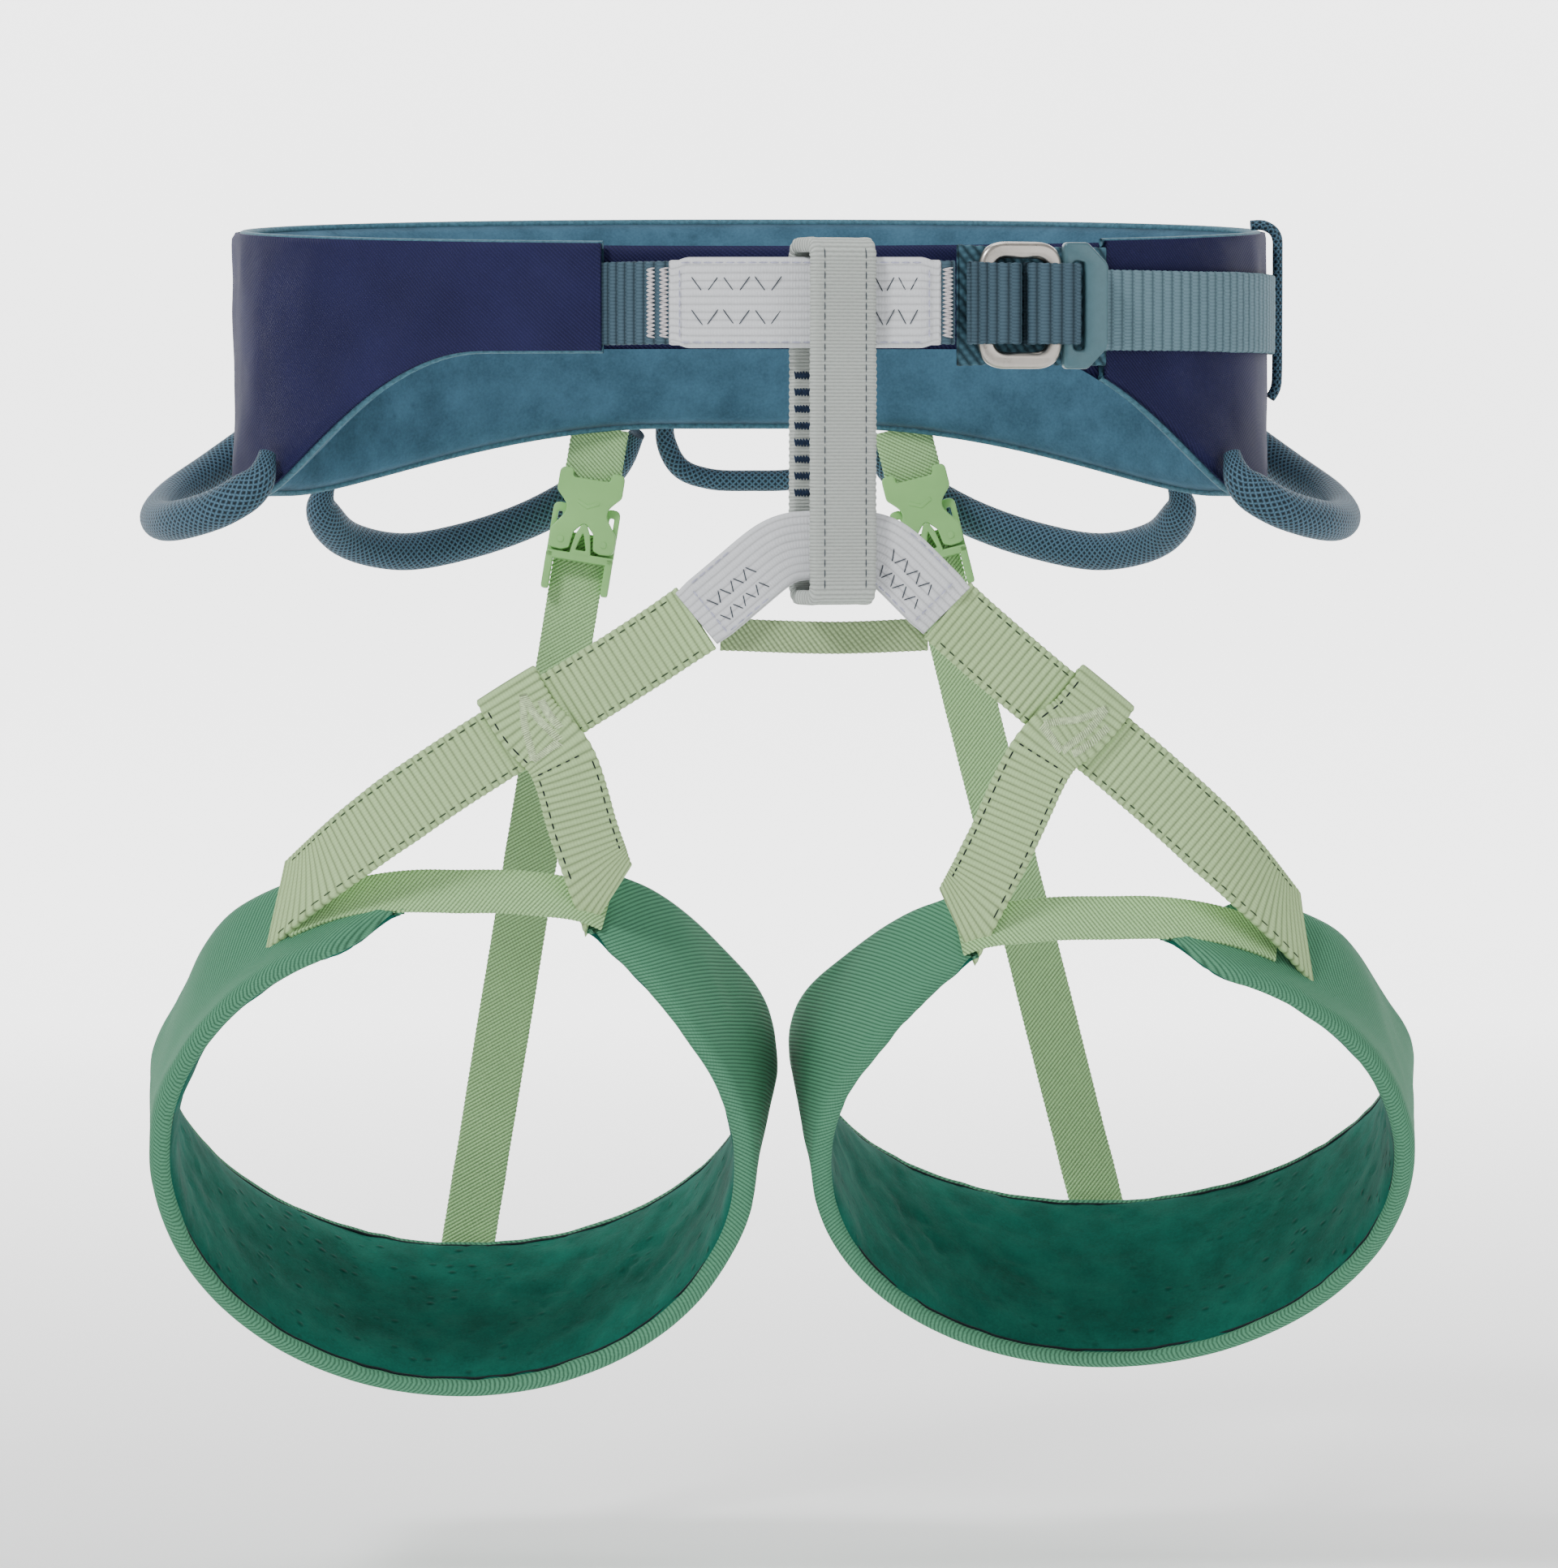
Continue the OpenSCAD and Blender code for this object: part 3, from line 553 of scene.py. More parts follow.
def webbing(name, color, pitch=2.1, style="rib", dark=0.55, light=1.18, fold=0.9):
    """Woven tape. u runs along it and v across it, in millimetres."""
    m = Shader(name, color, rough=0.75, Specular_IOR_Level=0.12)
    u, v = m.uv()
    if style == "rib":            # thick cross ribs of fine yarns
        rib = m.power(m.sine(u, pitch), 0.6)
        height = m.mul(rib, m.madd(m.sine(v, 0.85), 0.35, 0.65))
    elif style == "rows":         # ridges along the tape, with fine cross yarns
        rib = m.power(m.sine(v, pitch), 0.5)
        height = m.mul(rib, m.madd(m.sine(u, 0.8), 0.3, 0.7))
    elif style == "column":       # cross ridges of short yarns that lie along the tape
        rib = m.power(m.sine(u, pitch), 0.45)
        shift = m.mul(m.math("FLOOR", m.over(u, pitch)), 0.4)
        height = m.mul(rib, m.madd(m.sine(m.add(v, shift), 0.95), 0.5, 0.5))
    elif style == "brick":        # short yarns across the tape, each row half a step on
        row = m.math("FLOOR", m.over(u, 0.95))
        shift = m.mul(m.math("FRACT", m.mul(row, 0.5)), pitch)
        dash = m.power(m.sine(m.add(v, shift), pitch), 0.5)
        height = m.mul(m.sine(m.add(u, 0.24), 0.95), m.madd(dash, 0.5, 0.5))
    else:                         # slanted twill
        over = m.sine(m.add(u, m.mul(v, 0.8)), pitch)
        dots = m.sine(m.less(v, m.mul(u, 0.5)), pitch * 0.8)
        height = m.mul(over, m.madd(dots, 0.55, 0.45))
    height = m.add(height, m.mul(m.noise(2600, 2), 0.3))
    # Painted shade and highlight: the weave's hollows are darkened by dark and its ribs are lightened by light.
    tone = m.tones(height, (0.12, dark), (0.55, 1), (1.0, light))
    tone = m.blend(m.mul(m.noise(60, 3), 0.3), tone, 0.8)
    return m.finish(tone, m.bump(height, 0.3, fold))


def twill(name, color, pitch=1.5):
    """Stretchy shell fabric with fine slanted ribs."""
    m = Shader(name, color, rough=0.8, Specular_IOR_Level=0.1)
    u, v = m.uv()
    slant = m.add(u, m.mul(v, 0.9))
    cross = m.sine(m.less(v, m.mul(u, 0.35)), 0.75)
    height = m.mul(m.sine(slant, pitch), m.madd(cross, 0.4, 0.6))
    height = m.add(height, m.mul(m.noise(1800, 2), 0.3))
    # Painted shade and highlight: the rib hollows are darkened and the rib tops are lightened.
    tone = m.tones(height, (0.1, 0.4), (0.55, 1), (1.05, 1.3))
    tone = m.blend(m.mul(m.noise(28, 4), 0.4), tone, 0.78)
    return m.finish(tone, m.bump(height, 0.2, 0.8))


def suede(name, color, pit_size=(6.0, 4.6), pits=0.5):
    """Brushed spacer fabric: soft pile, with small dents in places."""
    m = Shader(name, color, rough=0.95, Specular_IOR_Level=0.05, Sheen_Weight=0.06, Sheen_Roughness=0.4)
    u, v = m.uv()
    cell = m.node("CombineXYZ")
    m.link(m.over(u, pit_size[0]), cell.inputs[0])
    m.link(m.over(v, pit_size[1]), cell.inputs[1])
    near = m.node("TexVoronoi", feature="F1")
    m.tree.links.new(cell.outputs[0], near.inputs["Vector"])
    near.inputs["Scale"].default_value = 1.0
    near.inputs["Randomness"].default_value = 0.65
    pit = m.ramp(near.outputs[0], (0.05, grey(1)), (0.27, grey(0)))
    where = m.ramp(m.noise(13, 2), (0.42, grey(0)), (0.6, grey(1)))
    pit = m.mul(m.mul(pit, where), pits)
    cloud = m.noise(75, 4, 0.6)
    pile = m.noise(1300, 3)
    height = m.less(m.add(m.mul(cloud, 1.6), m.mul(pile, 0.25)), m.mul(pit, 1.2))
    # Partly a mottled tone and partly painted light: the colour follows the bump height, lighter on the bumps
    # and darker in their hollows.
    tone = m.tones(m.add(m.mul(cloud, 0.7), m.mul(pile, 0.3)), (0.3, 0.62), (0.52, 1), (0.75, 1.35))
    # Painted shade: the dents are darkened.
    tone = m.blend(pit, tone, 0.35)
    return m.finish(tone, m.bump(height, 0.5, 0.8))


def nylon(name, color):
    """Smooth tightly woven cover fabric."""
    m = Shader(name, color, rough=0.6, Specular_IOR_Level=0.12)
    u, v = m.uv()
    slant = m.sine(m.add(u, v), 1.15)
    weave = m.mul(slant, m.madd(m.sine(m.less(u, v), 0.9), 0.5, 0.5))
    height = m.add(m.mul(weave, 0.6), m.mul(m.noise(55, 5, 0.55), 2.2))
    tone = m.tones(m.noise(40, 5, 0.6), (0.3, 0.75), (0.55, 1), (0.8, 1.4))
    # Painted highlight: the weave's raised threads are lightened up to twice the colour.
    tone = m.blend(m.mul(weave, 0.5), tone, 2.0)
    return m.finish(tone, m.bump(height, 0.4, 0.7))


def braid(name, color, pitch):
    """Braided sheath. u runs along it and v round it, both in millimetres."""
    m = Shader(name, color, rough=0.6, Specular_IOR_Level=0.2)
    u, v = m.uv()
    a = m.sine(m.add(u, v), pitch)
    b = m.sine(m.less(u, v), pitch)
    height = m.math("MAXIMUM", a, b)
    height = m.mul(height, m.madd(m.sine(u, 0.7), 0.2, 0.8))
    height = m.add(height, m.mul(m.noise(2200, 2), 0.25))
    # Painted shade between the strands and painted highlight on their crests.
    tone = m.tones(height, (0.4, 0.25), (0.8, 1), (1.1, 1.9))
    return m.finish(tone, m.bump(height, 0.45, 0.9))


def thread(name, color):
    m = Shader(name, color, rough=0.6, Specular_IOR_Level=0.2)
    tone = m.tones(m.noise(900, 2), (0.3, 0.7), (0.7, 1.2))
    return m.finish(tone, m.bump(m.noise(3000, 2), 0.05, 0.5))


def plastic(name, color):
    m = Shader(name, color, rough=0.38, Specular_IOR_Level=0.4)
    tone = m.tones(m.noise(35, 4), (0.35, 0.9), (0.65, 1.06))
    rough = m.ramp(m.noise(120, 4), (0.3, grey(0.3)), (0.7, grey(0.46)))
    return m.finish(tone, m.bump(m.noise(1400, 2), 0.03, 0.5), rough)


def metal(name, color, rough, coat=0.0, metallic=1.0):
    m = Shader(name, color, rough=rough, Metallic=metallic, Coat_Weight=coat, Coat_Roughness=0.2)
    scratch = m.noise(240, 5, 0.7)
    tone = m.tones(scratch, (0.35, 0.86), (0.6, 1), (0.8, 1.1))
    r = m.ramp(scratch, (0.3, grey(rough * 0.8)), (0.7, grey(min(1, rough * 1.3))))
    return m.finish(tone, m.bump(m.noise(900, 3), 0.02, 0.4), r)


NAVY = nylon("navy_fabric", "#1f2043")
TONGUE = nylon("dark_fabric", "#1d1e42")
# pits sets both how deep the dents are and how much painted shade is in them.
LINING = suede("belt_lining_suede", "#42657a", pits=0.25)
LEG_LINING = suede("leg_lining_suede", "#145e4f", pits=0.9)
SHELL = twill("leg_shell_twill", "#568f70")
SEAM = thread("seam_thread", "#0c1c20")
# dark and light set the painted shade in each weave's hollows and the painted highlight on its ribs.
LEG_WEB = webbing("leg_webbing_tape", "#aecb93", 2.1, "rib", dark=0.45, light=1.2)
ELASTIC = webbing("elastic_tape", "#afdb9b", 1.25, "slant", dark=0.3)
BRIDGE = webbing("bridge_tape", "#a3bd8c", 1.6, "slant", dark=0.4)
DARK_WEB = webbing("dark_webbing_tape", "#425662", 3.4, "column", dark=0.3, light=1.5)
ANCHOR = webbing("anchor_tape_weave", "#41616f", 3.0, "slant", dark=0.3, light=1.4)
TAIL = webbing("tail_webbing_tape", "#66818c", 3.4, "column", dark=0.42, light=1.3)
SLEEVE = webbing("white_sleeve_weave", "#dcdee2", 2.15, "rows", dark=0.66, light=1.08, fold=0.7)
BELAY = webbing("belay_webbing_weave", "#c4cac5", 2.6, "brick", dark=0.62, light=1.12)
BRAID = braid("gear_loop_braid", "#3b5464", 2 * math.pi * (GEAR_D / 2 - 0.1) / 18)
CLIP = plastic("green_plastic", "#92cc7c")
STEEL = metal("satin_steel", "#c4beb6", 0.3)
COATED = metal("coated_metal_finish", "#4c707a", 0.4, coat=0.3, metallic=0.35)
CORE = plastic("core_plastic", "#202428")
DARK_THREAD = thread("dark_thread", "#20262c")
GREEN_THREAD = thread("green_thread", "#3f4f3c")
TACK_THREAD = thread("bartack_thread", "#cbe0b4")
PALE_THREAD = thread("pale_thread", "#cfc9cc")
SLEEVE_THREAD = thread("sleeve_thread", "#4a5058")
LILAC_THREAD = thread("lilac_thread", "#b9bad2")
NAVY_THREAD = thread("navy_thread", "#1f2f48")
HEM = thread("lining_edge", "#456f80")

# ---- belt
BELT_FROM, BELT_TO = RIGHT_TURN, 360 + LEFT_TURN
BELT_ARC = 2.3                # about how many millimetres of belt one degree is
LEG_ARC = 1.5                 # and of leg loop


def crowned(f, power_of):
    """A profile over f from 0 to 1: one in the middle, rounded down to nothing at both ends."""
    return np.clip(1 - np.abs(2 * f - 1) ** power_of, 0, 1) ** 0.5


def pad_section(n_in, n_out):
    """Round a pad's section: its place across the pad, whether it is inner, and how full the pad is."""
    f = np.concatenate([np.linspace(0, 1, n_in), np.linspace(1, 0, n_out + 2)[1:-1]])
    return f, np.arange(len(f)) < n_in, crowned(f, 5)


def belt_pad():
    """The padding and its lining as one crowned, closed pad."""
    turns = np.linspace(BELT_FROM, BELT_TO, 260)[:, None]
    f, inner, edge = pad_section(30, 10)
    ends = np.minimum(smooth(0, 5, turns - BELT_FROM), smooth(0, 5, BELT_TO - turns)) * 0.7 + 0.3
    out = np.where(inner, mix(-3.4, -11.2, edge * ends), mix(-2.3, -3.9, edge))
    z = mix(belt_low(turns) + 0.5, belt_top(turns) - 0.5, f)
    obj = tube("belt_padding", belt_at(turns, out, z), stack(turns * BELT_ARC, z))
    puff(obj, (inner * edge * np.ones_like(turns)).ravel())
    co = points_of(obj).reshape(len(turns), -1, 3)
    inwards = unit(Z * co - co)
    size = (0.45 * noise(co / MM, 14, 1) + 0.3 * noise(co / MM, 6.5, 2))[..., None] * MM
    set_points(obj, co + inwards * size * (inner * edge)[..., None])
    finish_piece(obj, LINING, "waist", ["belt_foam", "belt_lining"])


def belt_cover(which, a, b, seed):
    """A cover panel with a rounded edge all round and soft creases."""
    turns = np.linspace(a, b, int((b - a) / 0.55) + 2)[:, None]
    f = np.linspace(0, 1, 44)
    ring = np.concatenate([stack(f, 0.0), [[1.0, -0.7], [1.0, -1.5]], stack(f[::-4], -1.6),
                           [[0.0, -1.5], [0.0, -0.7]]])
    low, top = belt_low(turns), belt_top(turns)
    z = mix(low, top, ring[:, 0])
    near = np.minimum(np.minimum(z - low, top - z), BELT_ARC * np.minimum(turns - a, b - turns) + 0.2)
    roll = smooth(0, 2.2, near)
    flat = belt_at(turns, 0, z)
    lean = np.sign(flat[..., 0])
    slant = stack(flat[..., 0] * 0.75 + lean * flat[..., 2] * 0.65, 0.8 * flat[..., 1],
                  (flat[..., 2] * 0.75 - lean * flat[..., 0] * 0.65) * 0.35)
    crease = 0.95 * noise(slant, 15, seed) + 0.4 * noise(slant, 7, seed + 5) + 0.4 * noise(flat, 30, seed + 2)
    is_front = ring[:, 1] > -0.1
    out = ring[:, 1] + is_front * (-0.7 * (1 - roll) + roll * crease * 0.8)
    obj = tube("belt_panel_" + which, belt_at(turns, out, z), stack(turns * BELT_ARC, z))
    finish_piece(obj, NAVY, "waist", ["belt_cover_" + which])


def belt_piping(name, edge_z):
    """A thin tube along an edge of the belt's lining."""
    turns = np.linspace(BELT_FROM, BELT_TO, int(abs(BELT_TO - BELT_FROM) / 0.8) + 2)
    path = belt_at(turns, -3.0, edge_z(turns))
    ring, r = np.radians(np.arange(0, 360, 45)), 1.2
    side = unit(np.cross(unit(np.gradient(path, axis=0)), Z))
    up = np.cross(side, unit(np.gradient(path, axis=0)))
    p = path[:, None] + r * (np.cos(ring)[:, None] * side[:, None] + np.sin(ring)[:, None] * up[:, None])
    obj = tube(name, p, stack(along_path(path)[:, None], np.degrees(ring) / 60))
    finish_piece(obj, HEM, "waist")


belt_pad()
belt_cover("left", -SIDE_TURN, LEFT_TURN, 11)
belt_cover("right", RIGHT_TURN, SIDE_TURN, 23)
belt_cover("back", SIDE_TURN + 0.2, 360 - SIDE_TURN - 0.2, 31)
belt_piping("belt_edge_top", lambda turn: belt_top(turn) - 0.5)
belt_piping("belt_edge_low", lambda turn: belt_low(turn) + 0.5)


def front_flap():
    """The thin padded tongue that closes the belt's gap in front."""
    turns = np.linspace(LEFT_TURN - 1.75, RIGHT_TURN + 1.75, 90)[:, None]
    f = np.linspace(0, 1, 22)
    ring = np.concatenate([stack(f, -4.5), stack(f[::-1], -7.5)])
    middle = -6.0
    out = middle + (ring[:, 1] - middle) * crowned(ring[:, 0], 6)
    z = mix(belt_low(turns) + 0.5, belt_top(turns) - 0.5, ring[:, 0])
    p = belt_at(turns, out, z)
    obj = tube("front_flap", p + 0.25 * noise(p, 12, 4)[..., None] * Y, stack(turns * BELT_ARC, z))
    finish_piece(obj, TONGUE, "waist", ["front_tongue"])


front_flap()

WEB_OUT = -2.7                # the waist webbing lies this far out from the belt's outline
turns = np.linspace(RIGHT_TURN + 1, 360 + LEFT_TURN - 6, 200)
strap_piece("load_webbing_strap", Strap(belt_at(turns, WEB_OUT, UPPER_Z + 0.5), Z, 24, 1.6, 2.0),
            DARK_WEB, "waist", "dark_webbing", ["load_webbing"], pitch=6)

# ---- upper tie-in
tie_in_path = curve([belt_at(LEFT_TURN - 5.5, WEB_OUT, UPPER_Z), belt_at(LEFT_TURN - 1, WEB_OUT, UPPER_Z),
                     belt_at(LEFT_TURN + 0.6, WEB_OUT, UPPER_Z), [-31, FRONT_Y + 8, UPPER_Z],
                     [SLEEVE_L, FRONT_Y + 2, UPPER_Z], [-4, FRONT_Y, UPPER_Z], [BELAY_X, FRONT_Y, UPPER_Z],
                     [SLEEVE_R, FRONT_Y + 0.4, UPPER_Z], [SLEEVE_R + 4, FRONT_Y + 1.5, UPPER_Z]], 6)


def columns(s, v):
    """Lengthwise ribs of the tie-in webbing."""
    return 0.16 * np.abs(np.sin(np.pi * v / 3.0))


tie_in = Strap(tie_in_path, Z, 23, 1.8)
strap_piece("tie_in_webbing_strap", tie_in, DARK_WEB, "waist", "dark_webbing", ["tie_in_webbing"],
            wave=columns)


def flat_ring(w, t, r, n=20):
    """The outline of a flat section with rounded corners."""
    r = min(r, t / 2 - 0.01)
    v = np.linspace(-1, 1, n) * (w / 2 - r)
    top = np.stack([v, np.full(n, t / 2)], 1)
    arc = np.radians([72, 45, 18])
    corner = np.stack([w / 2 - r + r * np.cos(arc), t / 2 - r + r * np.sin(arc)], 1)
    right = np.concatenate([corner, corner[::-1] * [1, -1]])
    return np.concatenate([top, right, top[::-1] * [1, -1], right[::-1] * [-1, 1]])


def sleeve(name, path, height, depth, inner_h, inner_t, nodes, seed, roll=0.7, taper=1.2):
    """A flat fabric sleeve with open ends, as a double-walled tube."""
    strap = Strap(path, Z, height, depth, 0.6)
    outer, inner = flat_ring(height, depth, 1.5), flat_ring(inner_h, inner_t, 0.8)
    v, side = outer[:, 0], np.sign(outer[:, 1])
    s = strap.s[:, None]
    to_end = np.minimum(s, strap.length - s)
    end = smooth(0, 6, to_end)
    rows = 0.22 * np.abs(np.sin(np.pi * v / 2.15)) ** 0.6
    pucker = 0.22 * noise(stack(s, 2.2 * v, side * 30), 7, seed)
    face = side * (1 - np.abs(v * 2 / height) ** 8)
    narrow = 1 - taper / height * 2 * (1 - smooth(0, 5, to_end))
    o = outer * np.stack([narrow, 0.55 + 0.45 * end], -1) + stack(0.0, face * (rows + pucker * end))
    points = (strap.path[:, None] + o[..., 0, None] * strap.across[:, None]
              + o[..., 1, None] * strap.face[:, None])
    core = (strap.path[:, None] + inner[:, 0, None] * strap.across[:, None]
            + inner[:, 1, None] * strap.face[:, None])
    lip = (points + core) / 2
    before = lip[:1] - roll * strap.along[:1, None]
    after = lip[-1:] + roll * strap.along[-1:, None]
    rings = np.concatenate([core[:1], before, points, after, core[-1:], core[::-1][1:-1]])
    u = np.concatenate([[0], [0], strap.s, [strap.length] * 2, strap.s[::-1][1:-1]])
    faces = grid_faces(len(rings), len(outer), True, True)
    obj = mesh_object(name, rings.reshape(-1, 3), faces, stack(u[:, None], v).reshape(-1, 2))
    finish_piece(obj, SLEEVE, "waist", nodes)
    return strap


first, last = 4 * 6, 7 * 6
upper = sleeve("upper_tie_in_cover", tie_in_path[first:last + 1], 25.0, 4.2, 23.4, 2.0,
               ["upper_tie_in_sleeve"], 3)


def front_surface(strap):
    """The side of a strap that faces the viewer at -Y."""
    side = 1 if strap.face[:, 1].mean() < 0 else -1
    return lambda s, v, lift: strap.at(s, v, side, lift)


def puckers(surface, s0, s1, rows, height, width):
    """Rows of tall zigzag stitches that dip into the fabric at each end."""
    t, sewn = np.linspace(0.06, 0.94, 6), []
    for v in rows:
        for k in range(int((s1 - s0) / width * 2)):
            up = height / 2 * (-1) ** k
            sewn.append(stitch(surface, mix(s0 + k * width / 2, s0 + (k + 1) * width / 2, t),
                               mix(v + up, v - up, t), np.array([-0.3, 0.25, 0.3, 0.3, 0.25, -0.3])))
    return sewn


face = front_surface(upper)
flip = 1 if face(10, 5, 0)[2] > face(10, 0, 0)[2] else -1
n = upper.length
threads("upper_tie_in_stitching", puckers(face, 5, 34, (5 * flip, -4 * flip), 6.0, 8.6)
        + puckers(face, n - 18, n - 3, (5 * flip, -4 * flip), 6.0, 6.4), SLEEVE_THREAD, "waist", 0.17)
threads("upper_tie_in_seams", stitch_line(face, 2.6, 2.6, -9.5, 9.5, 2.2, 0.5, 0.05)
        + stitch_line(face, n - 2.6, n - 2.6, -9.5, 9.5, 2.2, 0.5, 0.05)
        + both_edges(face, 3, n - 3, 10.9, 2.4, 0.6, 0.05), LILAC_THREAD, "waist", 0.2)
face = front_surface(tie_in)
at_sleeve = float(tie_in.s[np.argmin(np.abs(tie_in.path[:, 0] - SLEEVE_L))])
threads("tie_in_bartacks", [t for a in (at_sleeve - 7.6, at_sleeve - 3.6, tie_in.length - 3.4)
                            for t in bartack(face, a, a + 2.6, 9.5, 17, 0.35)], PALE_THREAD, "waist", 0.3)

# ---- lower tie-in


def saddle_z(x):
    return LOWER_Z - 20 * smooth(12, 37, np.abs(x - BELAY_X)) ** 0.8


xs = np.linspace(LOWER_L, LOWER_R, 70)
reach = np.where(xs < BELAY_X, BELAY_X - LOWER_L, LOWER_R - BELAY_X)
past_bend = np.clip(np.abs(xs - BELAY_X) - 14, 0, None) / (reach - 14)
fall = 20 * smooth(12, 37, reach) ** 0.8 * past_bend ** 0.95
saddle = soften(np.stack([xs, FRONT_Y + 0 * xs, LOWER_Z - fall], 1), 30)
strap_piece("lower_tie_in_strap", Strap(saddle[5:-5], Z, 17.4, 1.6), LEG_WEB, "waist", "leg_webbing",
            ["lower_tie_in_webbing"], rib=0.1)
lower = sleeve("lower_tie_in_cover", saddle, 19.2, 3.6, 17.8, 1.9, ["lower_tie_in_sleeve"], 5,
               roll=0.3, taper=0.4)
face = front_surface(lower)
n = lower.length
threads("lower_tie_in_stitching", puckers(face, 5, 22, (-4.6, 0.6), 4.4, 4.6)
        + puckers(face, n - 22, n - 4, (-4.6, 0.6), 4.4, 4.6), SLEEVE_THREAD, "waist", 0.17)
threads("lower_tie_in_seams", stitch_line(face, 4, 4, -8, 8, 2.0, 0.5, 0.0)
        + stitch_line(face, n - 4, n - 4, -8, 8, 2.0, 0.5, 0.0) + both_edges(face, 5, 21, 8.4, 2.2, 0.6, 0.05)
        + both_edges(face, n - 21, n - 5, 8.4, 2.2, 0.6, 0.05), LILAC_THREAD, "waist", 0.2)

y = FRONT_Y + 2.5 + 0.6 + 0.3
bridge = Strap(curve([[LOWER_L + 6.4, y, LOWER_Z - 24.5], [BELAY_X, y, LOWER_Z - 25.5],
                      [LOWER_R - 5, y, LOWER_Z - 24.5]], 12), Z, 9, 1.3)
strap_piece("bridge_tape_strap", bridge, BRIDGE, "waist", "leg_webbing", ["bridge_strap"], rib=0.05, pitch=1.6)


def belay():
    """The belay loop: a closed ring of thick webbing, turned a little from the front."""
    yaw, t = 20.0, 3.6
    inner_d = (5 + 19 * sin(yaw)) / cos(yaw) + 0.6
    top, low = UPPER_Z + 13.1 + 0.8, LOWER_Z - 10.1 - 2.4
    corner = 1.6 + t / 2
    half_h, half_d = (top - low) / 2 + t / 2, inner_d / 2 + t / 2
    ring = [[sx * (half_d - corner) + corner * cos(a), sz * (half_h - corner) + corner * sin(a)]
            for sx, sz, a0 in ((1, 1, 0), (-1, 1, 90), (-1, -1, 180), (1, -1, 270))
            for a in np.linspace(a0, a0 + 90, 12)]
    ring = np.array(ring + ring[:1])
    middle = np.array([BELAY_X, FRONT_Y, (top + low) / 2])
    path = middle + ring[:, :1] * np.array([-sin(yaw), cos(yaw), 0]) + ring[:, 1:] * Z
    strap = Strap(path, [cos(yaw), sin(yaw), 0], 19, t, 0.32)
    strap.path[-1] = strap.path[0]
    lines = lambda s, v: (0.16 * np.abs(np.sin(np.pi * s / 0.95)) ** 0.6 + 0.22 * smooth(6.2, 6.9, np.abs(v))
                          - 0.25 * np.exp(-((np.abs(v) - 6.0) / 0.35) ** 2))
    strap_piece("belay_loop_webbing", strap, BELAY, "belay", "belay_webbing", ["belay_loop"],
                wave=lines, edge_wave=0.15, pitch=1.9)
    return strap


loop = belay()
outward = loop.path - loop.path.mean(0)
belay_side = 1 if (outward * loop.face).sum() > 0 else -1
front_s = loop.s[loop.path[:, 1] < FRONT_Y - 4]
outer_face = lambda s, v, lift: loop.at(s, v, belay_side, lift)
inner_face = lambda s, v, lift: loop.at(s, v, -belay_side, lift)
seams = both_edges(outer_face, front_s.min() + 4, front_s.max() - 4, 6.0, 2.2, 0.6, 0.05)
threads("belay_loop_stitching", seams, SLEEVE_THREAD, "belay", 0.16)
rear_s = loop.s[(loop.path[:, 1] > FRONT_Y + 4) & (loop.path[:, 2] > -40) & (loop.path[:, 2] < -2)]
threads("belay_loop_bartacks", [t for a in np.arange(rear_s.min(), rear_s.max() - 2, 4.6)
                                for t in bartack(inner_face, a, a + 2.3, 8.8, 20, 0.3)],
        NAVY_THREAD, "belay", 0.3)

# ---- waist buckle
buckle_origin = belt_at(30, 0, UPPER_Z - 0.5)
buckle_origin[0] = BUCKLE_X
bx = np.array([cos(BUCKLE_TURN), sin(BUCKLE_TURN), 0])
by = np.array([-sin(BUCKLE_TURN), cos(BUCKLE_TURN), 0])


def at_buckle(p):
    p = np.asarray(p, float)
    return buckle_origin + p[..., :1] * bx + p[..., 1:2] * by + p[..., 2:] * Z


def outline(points, r, steps=8):
    """A closed outline with its corners rounded."""
    p = np.asarray(points, float)
    r = np.broadcast_to(r, len(p))
    out = []
    for i in range(len(p)):
        a, b, c = p[i - 1], p[i], p[(i + 1) % len(p)]
        u, v = unit(a - b), unit(c - b)
        half = math.acos(np.clip((u * v).sum(), -1, 1)) / 2
        d = min(r[i] / math.tan(half), np.linalg.norm(a - b) * 0.49, np.linalg.norm(c - b) * 0.49)
        for t in np.linspace(0, 1, steps):
            s, e = b + u * d, b + v * d
            out.append((1 - t) ** 2 * s + 2 * t * (1 - t) * b + t * t * e)
    return np.array(out)


